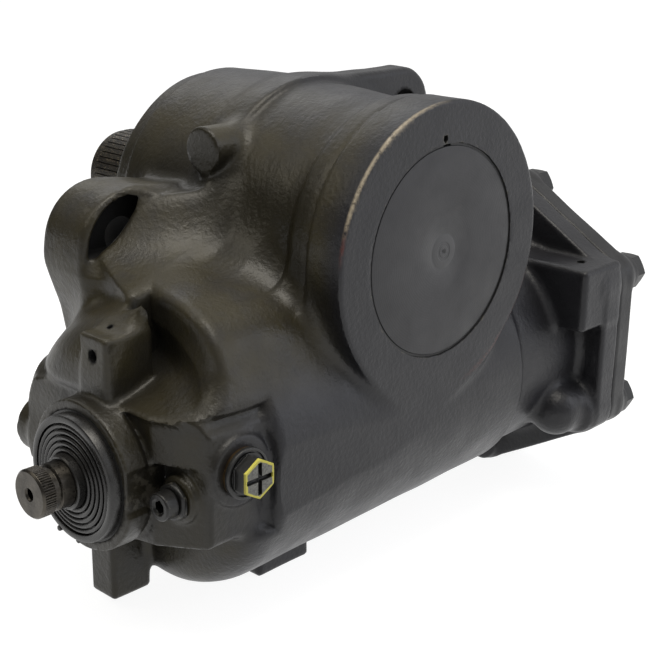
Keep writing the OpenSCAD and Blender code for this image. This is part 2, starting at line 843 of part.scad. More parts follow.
module worm_outline() {
    polygon([for (a = track_angles(track_r))
        polar(min(worm_r, ball_circle_r - track_depth(wrapped(a), track_r)), a)]);
}

module nut_track_outline() {
    polygon([for (a = track_angles(nut_track_r))
        polar(max(nut_bore_r, ball_circle_r + track_depth(wrapped(a), nut_track_r)), a)]);
}

slices_per_turn = 20;

// Right-hand screw along X whose phase follows from its place
module screw_x(x0, x1) {
    length = x1 - x0;
    translate([x0, 0, 0]) rotate([0, 90, 0]) rotate(360 * x0 / worm_lead)
        linear_extrude(height = length, twist = -360 * length / worm_lead,
                       slices = ceil(slices_per_turn * length / worm_lead), $fn = 8) children();
}

module worm() {
    color("#8a8a88") screw_x(worm_x[0], worm_x[1]) worm_outline();
}

module ball_nut() {
    color("#777774") screw_x(nut_x[0], nut_x[1]) difference() {
        circle(nut_r - seat_fit, $fn = 20);
        nut_track_outline();
    }
}

module nut_lock_ring() {
    color("#777774") tube_x(-piston_back, nut_x[0], nut_r, worm_r + 2);
}

module balls() {
    turns = floor((nut_len - 4 * ball_r) / worm_lead);
    first_x = (nut_x[0] + nut_x[1] - turns * worm_lead) / 2;
    color("#c8c8c8") for (i = [0 : turns * balls_per_turn]) {
        x = first_x + worm_lead * i / balls_per_turn;
        translate([x, 0, 0]) rotate([0, 90, 0]) rotate(360 * x / worm_lead)
            translate([ball_circle_r, 0, 0]) sphere(ball_r);
    }
}

module ball_return_tube() {
    leg_x = [nut_x[0] + 8, nut_x[1] - 8];
    inner_r = return_tube_r - return_tube_wall;
    color("#9a9a96") difference() {
        union() {
            rod_x(leg_x[0], leg_x[1], return_tube_r, 0, return_tube_z);
            for (x = leg_x) translate([x, 0, return_tube_z]) sphere(return_tube_r);
            for (x = leg_x) translate([x, 0, return_tube_z]) cylinder(h = return_tube_r, r = return_tube_r);
        }
        rod_x(leg_x[0], leg_x[1], inner_r, 0, return_tube_z);
        for (x = leg_x) translate([x, 0, return_tube_z]) sphere(inner_r);
        for (x = leg_x) translate([x, 0, return_tube_z]) cylinder(h = return_tube_r + 1, r = inner_r);
    }
}

// Rotary valve, torsion bar and input shaft

module valve_sleeve() {
    color("#8f8f8c") difference() {
        union() {
            rod_x(sleeve_end_x, sleeve_back_x + 1, sleeve_r);
            rod_x(sleeve_back_x + face_gap, sleeve_flange_x - face_gap, valve_bore_r - 2);
            rod_x(sleeve_flange_x - 1, worm_x[0], hub_r);
        }
        rod_x(sleeve_end_x - 1, sleeve_bore_x, spool_r + run_fit);
        // Bow-tie slot: the tang turns in it by the valve's twist and then stops
        for (a = [-valve_twist - 0.5, valve_twist + 0.5])
            intersection() {
                rod_x(sleeve_bore_x - 1, tang_end_x + 1, spool_r + run_fit);
                rotate([a, 0, 0]) block([sleeve_bore_x - 2, -spool_r - 1, -slot_w / 2 - run_fit],
                                        [tang_end_x + 2, spool_r + 1, slot_w / 2 + run_fit]);
            }
        rod_x(tang_end_x - 1, torsion_x[1] + 0.5, torsion_r + seat_fit);
        translate([pin_x, 0, -worm_r]) cylinder(h = 2 * worm_r, r = pin_r + seat_fit);
        for (x = valve_ring_x) tube_x(x, x + 2.4, sleeve_r + 1, sleeve_r - 2);
    }
}

valve_ring_x = [for (i = [0 : 3]) sleeve_end_x + 2 + i * (sleeve_len - 6.4) / 3];

module valve_rings() {
    color("#3a2f25") for (x = valve_ring_x)
        tube_x(x + 0.1, x + 2.3, sleeve_r + free_gap, sleeve_r - 2 + seat_fit);
}

module torsion_bar() {
    color("#a5a5a2") difference() {
        union() {
            rod_x(torsion_x[0], torsion_x[0] + 16, torsion_r);
            rod_x(torsion_x[0] + 15, tang_end_x, torsion_r - 1);
            rod_x(tang_end_x, torsion_x[1], torsion_r);
        }
        translate([pin_x, 0, -worm_r]) cylinder(h = 2 * worm_r, r = pin_r + seat_fit);
    }
}

module torsion_pin() {
    color("#a5a5a2") translate([pin_x, 0, -hub_r]) cylinder(h = 2 * hub_r, r = pin_r);
}

module input_shaft() {
    serration_end_x = input_end_x + 1 + input_serration_len;
    groove_end_x = serration_end_x + clamp_groove_w;
    shoulder = adjuster_step_x + 4;
    color("#4f4d49") difference() {
        union() {
            turned_x([[0, input_end_x], [input_r - 1.4, input_end_x],
                      [input_r - 0.4, input_end_x + 1], [0, input_end_x + 1]]);
            plate_x(input_end_x + 1, serration_end_x)
                serrated_disc(input_r, input_grooves, 0.44, 0.55);
            turned_x([[0, serration_end_x - 1], [clamp_groove_r, serration_end_x - 1],
                      [clamp_groove_r, groove_end_x - 1], [input_journal_r, groove_end_x],
                      [input_journal_r, shoulder], [spool_r, shoulder + 3],
                      [spool_r, sleeve_bore_x - face_gap], [0, sleeve_bore_x - face_gap]]);
            intersection() {
                rod_x(sleeve_bore_x - 1, tang_end_x - face_gap, spool_r);
                block([sleeve_bore_x - 2, -spool_r, -slot_w / 2], [tang_end_x + 1, spool_r, slot_w / 2]);
            }
        }
        rod_x(torsion_x[0] - face_gap, torsion_x[0] + 17, torsion_r + run_fit);
        rod_x(torsion_x[0] + 16, tang_end_x + 1, torsion_r + run_fit);
        rod_x(input_end_x - 1, input_end_x + 6, 2.4);
    }
}

// Pieces fixed in the valve end of the housing

module adjuster_nut() {
    color("#3f3e3b") difference() {
        rod_x(boss_x, adjuster_x, valve_bore_r - seat_fit);
        rod_x(adjuster_step_x, adjuster_x + 1, sleeve_r + free_gap + run_fit);
        rod_x(boss_x - 1, adjuster_step_x + 1, bearing_r + seat_fit);
        tube_x(adjuster_groove_x, adjuster_groove_x + seal_groove_w,
               valve_bore_r + 1, valve_bore_r - seal_groove_d);
    }
}

module adjuster_seal() {
    color("#1c1c1c") ring_x(adjuster_groove_x + seal_groove_w / 2,
                            valve_bore_r - seal_groove_d / 2, seal_wire_r);
}

module input_bearing() {
    color("silver") tube_x(input_bearing_x[0], input_bearing_x[1], bearing_r, input_journal_r + run_fit);
}

module input_seal() {
    color("#26221f") tube_x(boss_x + 0.3, input_bearing_x[0] - 0.3, bearing_r, input_journal_r + run_fit);
}

module dust_boot() {
    folds = 5;
    rim_r = valve_bore_r - 1;
    fold_pitch = 2.4;
    inner_r = input_journal_r + free_gap;
    first_r = rim_r - 3.2;
    // Each fold is one ridge and one groove on the way in to the lip
    fold_points = [for (i = [0 : folds - 1]) each [
        [first_r - i * fold_pitch, boss_x - 2.2 - i * 0.55],
        [first_r - i * fold_pitch - 0.5, boss_x - 4 - i * 0.55],
        [first_r - i * fold_pitch - fold_pitch + 0.5, boss_x - 4 - i * 0.55]
    ]];
    color("#1f1e1d") turned_x(concat(
        [[inner_r, boss_x], [rim_r, boss_x], [rim_r, boss_x - 3], [rim_r - 1, boss_x - 4],
         [first_r + 0.5, boss_x - 4]],
        fold_points,
        [[inner_r + 2.6, boss_x - 8.5], [inner_r + 0.6, boss_x - 8.5], [inner_r, boss_x - 7]]
    ));
}

module inner_thrust_bearing() {
    color("silver") tube_x(sleeve_flange_x, shoulder_x, valve_bore_r - 2, worm_r + 1);
}

module outer_thrust_bearing() {
    color("silver") tube_x(adjuster_x, sleeve_back_x, valve_bore_r - 2, sleeve_r + 2 * free_gap);
}

module limiter_screw() {
    face_x = head_x - limiter_reach;
    color("#2a2927") difference() {
        union() {
            rod_x(face_x, head_x - limiter_pad_t - limiter_nut_t, limiter_head_r);
            rod_x(face_x + 1, bulkhead_x - 2, limiter_r, 0, 0);
        }
        plate_x(face_x - 1, face_x + 5) hexagon(6);
    }
}

module limiter_nut() {
    nut_x0 = head_x - limiter_pad_t - limiter_nut_t;
    color("#33312f") difference() {
        plate_x(nut_x0, head_x - limiter_pad_t) rotate(30) hexagon(limiter_af);
        rod_x(nut_x0 - 1, head_x + 1, limiter_r + seat_fit);
    }
}

module relief_plug() {
    seat = -relief_washer_t;
    collar = seat - relief_collar_h;
    head = collar - relief_head_h;
    arm_w = 2.6;
    arm_l = 12;
    color("#6b662f") difference() {
        union() {
            rod_y(seat - 1, relief_len, relief_r);
            rod_y(collar, seat, relief_af / 2 + 2);
            plate_y(head, collar + 1) rotate(30) hexagon(relief_af);
        }
        for (a = [0, 90]) rotate([0, a, 0])
            block([-arm_l / 2, head - 1, -arm_w / 2], [arm_l / 2, head + 2, arm_w / 2]);
        rod_y(relief_len - 6, relief_len + 1, relief_r - 1.4);
    }
}

module relief_washer() {
    color("#9a6a3a") tube_y(-relief_washer_t, 0, relief_af / 2 + 3, relief_r + seat_fit);
}

// Round wire swept along a helix about Y
module coil_y(y0, y1, coil_r, wire_r, turns) {
    sides = 6;
    per_turn = 12;
    rings = turns * per_turn;
    points = [for (i = [0 : rings]) let (a = 360 * i / per_turn, y = y0 + (y1 - y0) * i / rings)
        for (j = [0 : sides - 1]) let (b = 360 * j / sides, r = coil_r + wire_r * cos(b))
            [r * cos(a), y + wire_r * sin(b), r * sin(a)]];
    walls = [for (i = [0 : rings - 1], j = [0 : sides - 1]) let (k = (j + 1) % sides)
        [i * sides + j, i * sides + k, (i + 1) * sides + k, (i + 1) * sides + j]];
    start = [for (j = [sides - 1 : -1 : 0]) j];
    end = [for (j = [0 : sides - 1]) rings * sides + j];
    polyhedron(points, concat([start], walls, [end]), convexity = 8);
}

spring_seat = relief_len - 6;
relief_ball_r = 3;

module relief_spring() {
    wire = 0.5;
    color("#b5b5b0") coil_y(spring_seat + wire + face_gap, relief_depth - 2 * relief_ball_r - wire - 0.4,
                            relief_r - 2.2, wire, 5);
}

module relief_ball() {
    color("#c8c8c8") translate([0, relief_depth - relief_ball_r - 0.2, 0]) sphere(relief_ball_r);
}

// Places: the gear train's own frame is shifted so that the arm seat is the origin

module place() {
    translate([0, -arm_y, -sector_z]) children();
}

module at_limiter() {
    place() translate([0, limiter_y, limiter_z]) children();
}

module at_relief() {
    place() translate([relief_x, relief_face_y, relief_z]) children();
}

place() housing();
place() cylinder_cover();
place() cover_bolts();
place() cover_seal();
place() sector_cover();
place() sector_cover_ring();
place() sector_cover_seal();
place() front_sector_bearing();
place() rear_sector_bearing();
place() sector_thrust_washer();
place() output_seal();
place() output_dust_seal();
place() adjuster_nut();
place() adjuster_seal();
place() input_bearing();
place() input_seal();
place() dust_boot();
place() inner_thrust_bearing();
place() outer_thrust_bearing();
at_limiter() limiter_screw();
at_limiter() limiter_nut();
at_relief() relief_plug();
at_relief() relief_washer();
at_relief() relief_spring();
at_relief() relief_ball();
place() sector_shaft();
place() piston();
place() piston_ring();
place() piston_ring_backing();
place() ball_nut();
place() nut_lock_ring();
place() balls();
place() ball_return_tube();
place() worm();
place() valve_sleeve();
place() valve_rings();
place() torsion_bar();
place() torsion_pin();
place() input_shaft();
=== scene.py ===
"""Looks of the steering gearbox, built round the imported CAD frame.

Shapes are written in millimetres in the gear frame: worm axis along X at y = z = 0,
sector axis along Y at x = 0, z = SECTOR_Z. Meshes are stored in metres in the row frame.
"""
import math

import bpy
import numpy as np
from mathutils import Matrix, Vector


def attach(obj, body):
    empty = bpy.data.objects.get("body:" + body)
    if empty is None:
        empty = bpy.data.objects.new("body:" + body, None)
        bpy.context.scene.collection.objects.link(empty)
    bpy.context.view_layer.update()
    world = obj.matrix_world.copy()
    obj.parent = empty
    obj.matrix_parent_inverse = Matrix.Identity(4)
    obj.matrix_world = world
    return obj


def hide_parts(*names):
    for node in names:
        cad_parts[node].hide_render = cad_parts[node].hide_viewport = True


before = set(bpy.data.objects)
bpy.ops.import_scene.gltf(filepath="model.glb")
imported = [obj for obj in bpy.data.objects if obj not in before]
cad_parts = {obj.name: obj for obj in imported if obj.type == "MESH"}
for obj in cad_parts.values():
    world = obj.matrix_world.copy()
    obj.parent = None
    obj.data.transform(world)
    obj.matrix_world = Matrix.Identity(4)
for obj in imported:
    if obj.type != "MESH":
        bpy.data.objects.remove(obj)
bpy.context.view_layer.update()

scene = bpy.context.scene
scene.view_settings.view_transform = "Standard"

SECTOR_Z = 83.0
ROW_ORIGIN = np.array([0.0, 150.5, SECTOR_Z])
COARSE = 1.0

# Stations along the worm axis
FLANGE_BACK, SPIGOT, FLANGE, COVER, BOLT_SEAT = 127.0, 134.0, 141.0, 154.0, 160.0
BULKHEAD, SHOULDER = -104.016, -108.016
HEAD, BARREL_END, BOSS, INPUT_END = -145.016, -153.016, -163.016, -189.516
# Stations along the sector axis
LID_Y, LUG_FRONT, MOUNT, DRUM_END = -66.0, 40.0, 72.0, 100.0


# Distance functions. They take coordinates that broadcast, as a grid or as a list of points.

def smin(a, b, k):
    """Union with a fillet about k wide."""
    h = np.maximum(k - np.abs(a - b), 0) / k
    return np.minimum(a, b) - h * h * k * 0.25


def smax(a, b, k):
    """Intersection with an edge rounded about k wide."""
    return -smin(-a, -b, k)


def rounded(u, v, e):
    """Intersection of two distances whose common edge has the radius e."""
    u, v = u + e, v + e
    return np.minimum(np.maximum(u, v), 0) + np.hypot(np.maximum(u, 0), np.maximum(v, 0)) - e


def span(t, low, high):
    """Distance to the stretch from low to high."""
    return np.abs(t - (low + high) / 2) - (high - low) / 2


def box(x, y, z, low, high, e):
    """Box between two corners, with its edges rounded by e."""
    q = [span(t, a, b) + e for t, a, b in zip((x, y, z), low, high)]
    out = sum(np.maximum(t, 0) ** 2 for t in q)
    return np.sqrt(out) + np.minimum(np.maximum(np.maximum(q[0], q[1]), q[2]), 0) - e


def rod(a, b, along, r, low, high, e):
    """Rod about a line: a and b are measured across it."""
    return rounded(np.hypot(a, b) - r, span(along, low, high), e)


def hexagon(a, b, af):
    """Hexagon of the width af across flats, with a corner along b."""
    c, s = 0.5, math.sqrt(0.75)
    slanted = np.maximum(np.abs(c * a + s * b), np.abs(c * a - s * b))
    return np.maximum(np.abs(a), slanted) - af / 2


def profile(t, *points):
    """Value at t of a line through (place, value) points."""
    return np.interp(t, *zip(*points)).astype(np.float32)


def outline(a, b, points, e):
    """Distance to a closed outline, given anticlockwise, with its corners rounded by e."""
    pts = np.array(points, float)
    edges = np.roll(pts, -1, 0) - pts
    normals = np.stack([edges[:, 1], -edges[:, 0]], 1) / np.linalg.norm(edges, axis=1)[:, None]
    level = (normals * pts).sum(1) - e
    inset = []
    for i in range(len(pts)):
        inset.append(np.linalg.solve([normals[i - 1], normals[i]], [level[i - 1], level[i]]))
    d = None
    flip = None
    for (ax, ay), (bx, by) in zip(inset, np.roll(inset, -1, 0)):
        ex, ey = bx - ax, by - ay
        wx, wy = a - ax, b - ay
        t = np.clip((wx * ex + wy * ey) / (ex * ex + ey * ey), 0, 1)
        gap = (wx - ex * t) ** 2 + (wy - ey * t) ** 2
        c1, c2, c3 = b >= ay, b < by, ex * wy > ey * wx
        swap = (c1 & c2 & c3) | (~c1 & ~c2 & ~c3)
        d = gap if d is None else np.minimum(d, gap)
        flip = swap if flip is None else flip ^ swap
    return np.where(flip, -1, 1) * np.sqrt(d) - e


def tapered(a, b, p1, r1, p2, r2):
    """Two discs and the tangent web between them."""
    dx, dy = p2[0] - p1[0], p2[1] - p1[1]
    length = math.hypot(dx, dy)
    along = ((a - p1[0]) * dx + (b - p1[1]) * dy) / length
    across = np.abs((a - p1[0]) * dy - (b - p1[1]) * dx) / length
    lean = (r1 - r2) / length
    rise = math.sqrt(1 - lean * lean)
    k = along * rise - across * lean
    web = across * rise + along * lean - r1
    start = np.hypot(across, along) - r1
    end = np.hypot(across, along - length) - r2
    return np.where(k < 0, start, np.where(k > length * rise, end, web))


def steps(*runs):
    """Grid places: runs of (start, end, spacing) set end to end."""
    places = []
    for low, high, h in runs:
        n = max(1, round((high - low) / (h * COARSE)))
        places += list(low + (high - low) * np.arange(n) / n)
    return np.array(places + [runs[-1][1]], np.float32)


def gradient(sdf, p):
    """Unit normals of a distance function at points."""
    eps = 0.15
    g = np.empty((len(p), 3))
    for i in range(3):
        shift = np.zeros(3)
        shift[i] = eps
        ahead, behind = p + shift, p - shift
        g[:, i] = sdf(*ahead.T) - sdf(*behind.T)
    return g / np.maximum(np.linalg.norm(g, axis=1), 1e-9)[:, None]


MEAN_PULL = 0.04   # how firmly a contoured point is held to the mean of its cell's crossings


def contour(sdf, *grid):
    """Surface of a distance function by dual contouring, which keeps its sharp edges."""
    xs, ys, zs = grid
    f = sdf(xs[:, None, None], ys[None, :, None], zs[None, None, :]).astype(np.float32)
    f[f == 0] = 1e-6
    inside = f < 0
    cells = np.array(f.shape) - 1
    points, quads = [], []
    for axis in range(3):
        u, v = (axis + 1) % 3, (axis + 2) % 3
        lead = [slice(None)] * 3
        tail = [slice(None)] * 3
        lead[axis], tail[axis] = slice(1, None), slice(0, -1)
        at = np.argwhere(inside[tuple(tail)] != inside[tuple(lead)])
        at = at[(at[:, u] > 0) & (at[:, u] < cells[u]) & (at[:, v] > 0) & (at[:, v] < cells[v])]
        step = np.zeros(3, int)
        step[axis] = 1
        a, b = f[tuple(at.T)], f[tuple((at + step).T)]
        p = np.stack([g[i] for g, i in zip(grid, at.T)], 1).astype(float)
        size = grid[axis][at[:, axis] + 1] - grid[axis][at[:, axis]]
        p[:, axis] += size * a / (a - b)
        points.append(p)
        corners = []
        for du, dv in ((-1, -1), (0, -1), (0, 0), (-1, 0)):
            c = at.copy()
            c[:, u] += du
            c[:, v] += dv
            corners.append((c[:, 0] * cells[1] + c[:, 1]) * cells[2] + c[:, 2])
        quad = np.stack(corners, 1)
        quads.append(np.where((a < 0)[:, None], quad, quad[:, ::-1]))
    points, quads = np.concatenate(points), np.concatenate(quads)
    normals = gradient(sdf, points)
    ids, faces = np.unique(quads.ravel(), return_inverse=True)
    n = len(ids)
    owner = np.repeat(np.arange(len(points)), 4)
    count = np.bincount(faces, minlength=n)
    mass = np.stack([np.bincount(faces, points[owner, i], n) / count for i in range(3)], 1)
    away = ((points[owner] - mass[faces]) * normals[owner]).sum(1)
    ata, atb = np.zeros((n, 3, 3)), np.zeros((n, 3))
    for i in range(3):
        atb[:, i] = np.bincount(faces, normals[owner, i] * away, n)
        for j in range(i, 3):
            product = normals[owner, i] * normals[owner, j]
            ata[:, i, j] = ata[:, j, i] = np.bincount(faces, product, n)
    ata += np.eye(3) * MEAN_PULL
    move = np.linalg.solve(ata, atb[:, :, None])[:, :, 0]
    cell = np.stack([ids // (cells[1] * cells[2]), ids // cells[2] % cells[1], ids % cells[2]], 1)
    low = np.stack([g[i] for g, i in zip(grid, cell.T)], 1)
    high = np.stack([g[i + 1] for g, i in zip(grid, cell.T)], 1)
    return np.clip(mass + move, low, high), faces.reshape(-1, 4)


# Meshes

def place(piece, body, slot, material, *nodes):
    """Give a piece its material and its body, and hide the CAD nodes that it stands for; slot is
    not used.
    """
    piece.data.materials.append(material)
    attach(piece, body)
    if nodes:
        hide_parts(*nodes)


def mesh(name, verts, faces, sharp=35):
    """Mesh object from gear frame millimetres."""
    data = bpy.data.meshes.new(name)
    data.from_pydata((np.asarray(verts) - ROW_ORIGIN) / 1000, [], faces)
    data.validate()
    data.shade_smooth()
    data.set_sharp_from_angle(angle=math.radians(sharp))
    piece = bpy.data.objects.new(name, data)
    scene.collection.objects.link(piece)
    return piece


def fade(t, start, end):
    """0 before start, 1 past end."""
    return np.clip((t - start) / (end - start), 0, 1)


def paint_layer(piece, name, values):
    """Store a value from 0 to 1 at each point, for the piece's material to read."""
    layer = piece.data.attributes.new(name, "FLOAT", "POINT")
    layer.data.foreach_set("value", np.clip(values, 0, 1).astype(np.float32))


def edge_layer(piece, sdf, verts, reach=2.5, deep=9.0):
    """Paint layers of a contoured piece: edge is 1 on sharp ridges; the painted shade layer is 1
    in deep corners.
    """
    normals = gradient(sdf, verts)
    edge = sdf(*(verts - normals * reach).T) / reach + 1
    far = deep * 2.6
    near_shade = 1 - sdf(*(verts + normals * deep).T) / deep
    far_shade = 0.9 - sdf(*(verts + normals * far).T) / far
    paint_layer(piece, "edge", edge)
    paint_layer(piece, "corner_shade", np.maximum(near_shade, far_shade))


def contoured(name, sdf, *grid):
    """Contoured piece with its edge layer and its painted shade layer."""
    verts, faces = contour(sdf, *grid)
    piece = mesh(name, verts, faces)
    edge_layer(piece, sdf, verts)
    return piece


def lathe(name, points, axis, sides):
    """Turned piece: points are (place along the axis, radius), the axis is "x" or "y"."""
    pts = np.array(points, float)
    turn = np.arange(sides) * 2 * math.pi / sides
    along = np.repeat(pts[:, 0], sides)
    c = np.outer(pts[:, 1], np.cos(turn)).ravel()
    s = np.outer(pts[:, 1], np.sin(turn)).ravel()
    if axis == "x":
        verts = np.stack([along, c, s], 1)
    else:
        verts = np.stack([s, along, c + SECTOR_Z], 1)
    faces = []
    for i in range(len(pts) - 1):
        for j in range(sides):
            k = (j + 1) % sides
            faces.append((i * sides + j, (i + 1) * sides + j, (i + 1) * sides + k, i * sides + k))
    for i in (0, len(pts) - 1):
        ring = [i * sides + j for j in range(sides)]
        faces.append(ring if i == 0 else ring[::-1])
    return mesh(name, verts, faces, sharp=32)


# Materials

class Shader:
    """A material whose nodes are added one call at a time."""

    def __init__(self, name):
        self.material = bpy.data.materials.new(name)
        self.material.use_nodes = True
        self.tree = self.material.node_tree
        self.tree.nodes.clear()
        self.output = self.add("ShaderNodeOutputMaterial")
        self.bsdf = self.add("ShaderNodeBsdfPrincipled")
        self.link(self.bsdf.outputs[0], self.output.inputs[0])
        self.place = self.add("ShaderNodeTexCoord").outputs["Object"]

    def add(self, kind, **values):
        node = self.tree.nodes.new(kind)
        for key, value in values.items():
            setattr(node, key, value)
        return node

    def link(self, a, b):
        self.tree.links.new(a, b)

    def noise(self, scale, detail, rough):
        node = self.add("ShaderNodeTexNoise")
        node.inputs["Scale"].default_value = scale
        node.inputs["Detail"].default_value = detail
        node.inputs["Roughness"].default_value = rough
        self.link(self.place, node.inputs["Vector"])
        return node.outputs["Fac"]

    def layer(self, name):
        return self.add("ShaderNodeAttribute", attribute_name=name).outputs["Fac"]

    def patchy(self, name, noise, *stops):
        """Paint layer broken up by noise."""
        return self.math("MULTIPLY", self.layer(name), self.ramp(noise, *stops))

    def ramp(self, value, *stops):
        """Colour ramp: stops are (place, colour or grey)."""
        node = self.add("ShaderNodeValToRGB")
        elements = node.color_ramp.elements
        while len(elements) < len(stops):
            elements.new(1)
        for element, (at, colour) in zip(elements, stops):
            element.position = at
            element.color = (*colour, 1) if isinstance(colour, tuple) else (colour,) * 3 + (1,)
        self.link(value, node.inputs[0])
        return node.outputs[0]

    def math(self, operation, a, b):
        node = self.add("ShaderNodeMath", operation=operation)
        for socket, value in zip(node.inputs, (a, b)):
            if isinstance(value, (int, float)):
                socket.default_value = value
            else:
                self.link(value, socket)
        return node.outputs[0]

    def mix(self, factor, a, b):
        node = self.add("ShaderNodeMix", data_type="RGBA")
        self.link(factor, node.inputs["Factor"])
        for socket, value in ((node.inputs[6], a), (node.inputs[7], b)):
            if isinstance(value, tuple):
                socket.default_value = (*value, 1)
            else:
                self.link(value, socket)
        return node.outputs[2]

    def bump(self, height, strength, distance, below=None):
        node = self.add("ShaderNodeBump")
        node.inputs["Strength"].default_value = strength
        node.inputs["Distance"].default_value = distance
        self.link(height, node.inputs["Height"])
        if below is not None:
            self.link(below, node.inputs["Normal"])
        return node.outputs[0]

    def set(self, **sockets):
        for name, value in sockets.items():
            socket = self.bsdf.inputs[name.replace("_", " ")]
            if isinstance(value, bpy.types.NodeSocket):
                self.link(value, socket)
            else:
                socket.default_value = value
        return self.material


# HOLE_SHADE is painted shade for the inside of holes and of the lug's recess
BARE_METAL, RED_PRIMER, HOLE_SHADE = (0.40, 0.34, 0.25), (0.12, 0.045, 0.04), (0.004, 0.004, 0.004)
GREASE_ROUGH, HOLE_ROUGH = (0.33, 0.33, 0.33), (0.9, 0.9, 0.9)


def dimmed(colour, by):
    return tuple(by * c for c in colour)


def painted(name, dark, light, rough, peel, worn, wear_from=0.6, film=None):
    """Sprayed paint over a casting: orange peel, rubbed edges and painted shade in the corners.

    With film, the colour of an oil film, it also reads the layers that only the housing has, some
    of them painted shade."""
    s = Shader(name)
    cloud = s.noise(28, 4, 0.6)
    fine = s.noise(420, 3, 0.55)
    pores = s.noise(1500, 2, 0.5)
    colour = s.ramp(cloud, (0.3, dark), (0.72, light))
    if film:
        cover = s.patchy("film", s.noise(45, 5, 0.65), (0.35, 0.45), (0.6, 1.0))
        colour = s.mix(cover, colour, film)
        # The stain layer is painted shade on the drum's flank and the stub's end, and darkens the
        # head
        stain = s.patchy("stain", s.noise(36, 5, 0.6), (0.3, 0.65), (0.65, 1.0))
        colour = s.mix(stain, colour, dimmed(film, 0.4))
    speck = s.ramp(fine, (0.62, 0.0), (0.8, 0.35))
    colour = s.mix(speck, colour, dimmed(dark, 0.6))
    # Painted shade: darker in deep corners and creases
    shade = s.ramp(s.layer("corner_shade"), (0.25, 0.0), (0.95, 0.6))
    colour = s.mix(shade, colour, dimmed(dark, 0.35))
    rub = s.patchy("edge", s.noise(170, 5, 0.65), (0.42, 0.15), (0.66, 1.35))
    rub = s.ramp(rub, (wear_from, 0.0), (wear_from + 0.3, 0.7))
    colour = s.mix(rub, colour, worn)
    gloss = s.ramp(s.noise(60, 4, 0.6), (0.3, rough - 0.06), (0.75, rough + 0.1))
    if film:
        streak = s.ramp(s.noise(210, 4, 0.7), (0.30, 0.0), (0.46, 1.0))
        for layer, under in (("bare", BARE_METAL), ("primer", RED_PRIMER)):
            colour = s.mix(s.math("MULTIPLY", s.layer(layer), streak), colour, under)
        # Painted shade: the inside of holes and of the lug's recess goes near black and rough
        colour = s.mix(s.layer("deep"), colour, HOLE_SHADE)
        gloss = s.mix(s.math("MULTIPLY", stain, 0.8), gloss, GREASE_ROUGH)
        gloss = s.mix(s.layer("deep"), gloss, HOLE_ROUGH)
    normal = s.bump(cloud, 0.25, 0.0008)
    normal = s.bump(fine, peel, 0.0005, normal)
    normal = s.bump(pores, peel * 0.5, 0.0002, normal)
    return s.set(Base_Color=colour, Roughness=gloss, Normal=normal, Specular_IOR_Level=0.37)


def metal(name, dark, light, rough):
    """Bare metal with stains and a fine grain."""
    s = Shader(name)
    stain = s.noise(90, 5, 0.6)
    fine = s.noise(900, 3, 0.6)
    colour = s.ramp(stain, (0.3, dark), (0.7, light))
    gloss = s.ramp(fine, (0.3, rough - 0.07), (0.75, rough + 0.12))
    normal = s.bump(fine, 0.15, 0.0002)
    return s.set(Base_Color=colour, Roughness=gloss, Normal=normal, Metallic=1.0)


def glint_speckled(name):
    """Dark oiled steel; fine bright specks painted into its colour stand in for glints, and are
    smoother there.
    """
    s = Shader(name)
    stain = s.noise(90, 5, 0.6)
    glint_specks = s.noise(1700, 2, 0.6)
    colour = s.ramp(stain, (0.3, (0.008, 0.007, 0.006)), (0.7, (0.024, 0.021, 0.016)))
    # Painted glints: fine bright specks in the colour
    colour = s.mix(s.ramp(glint_specks, (0.60, 0.0), (0.68, 1.0)), colour, (0.34, 0.28, 0.19))
    gloss = s.ramp(glint_specks, (0.5, 0.5), (0.7, 0.28))
    normal = s.bump(glint_specks, 0.35, 0.0003)
    return s.set(Base_Color=colour, Roughness=gloss, Normal=normal, Metallic=0.5)


def rubbery(name, dark, light, rough):
    """Rubber or plastic with a fine dull grain."""
    s = Shader(name)
    cloud = s.noise(120, 4, 0.6)
    fine = s.noise(1300, 2, 0.5)
    colour = s.ramp(cloud, (0.3, dark), (0.75, light))
    gloss = s.ramp(fine, (0.3, rough - 0.08), (0.75, rough + 0.1))
    return s.set(Base_Color=colour, Roughness=gloss, Normal=s.bump(fine, 0.2, 0.0002))


LID_RINGS = 5200   # radians per metre: turned rings 1.2 mm apart


def lid_paint():
    """Thin paint over a turned face: faint rings and a paler patch round the centre."""
    s = Shader("lid_paint")
    spot = s.add("ShaderNodeVectorMath", operation="SUBTRACT")
    spot.inputs[1].default_value = (0, (LID_Y - ROW_ORIGIN[1]) / 1000, 0)
    s.link(s.place, spot.inputs[0])
    length = s.add("ShaderNodeVectorMath", operation="LENGTH")
    s.link(spot.outputs[0], length.inputs[0])
    radius = length.outputs["Value"]
    cloud = s.noise(34, 5, 0.62)
    fine = s.noise(700, 3, 0.55)
    colour = s.ramp(cloud, (0.28, (0.0165, 0.0163, 0.0182)), (0.72, (0.0245, 0.0242, 0.0270)))
    patch = s.math("ADD", s.math("MULTIPLY", radius, 18), s.math("MULTIPLY", cloud, 0.55))
    patch = s.ramp(patch, (0.38, 0.85), (0.62, 0.0))
    colour = s.mix(patch, colour, (0.066, 0.066, 0.069))
    rings = s.math("SINE", s.math("MULTIPLY", radius, LID_RINGS), 0)
    gloss = s.ramp(s.noise(60, 4, 0.6), (0.3, 0.42), (0.75, 0.58))
    normal = s.bump(rings, 0.04, 0.0002)
    normal = s.bump(fine, 0.16, 0.0003, normal)
    return s.set(Base_Color=colour, Roughness=gloss, Normal=normal)


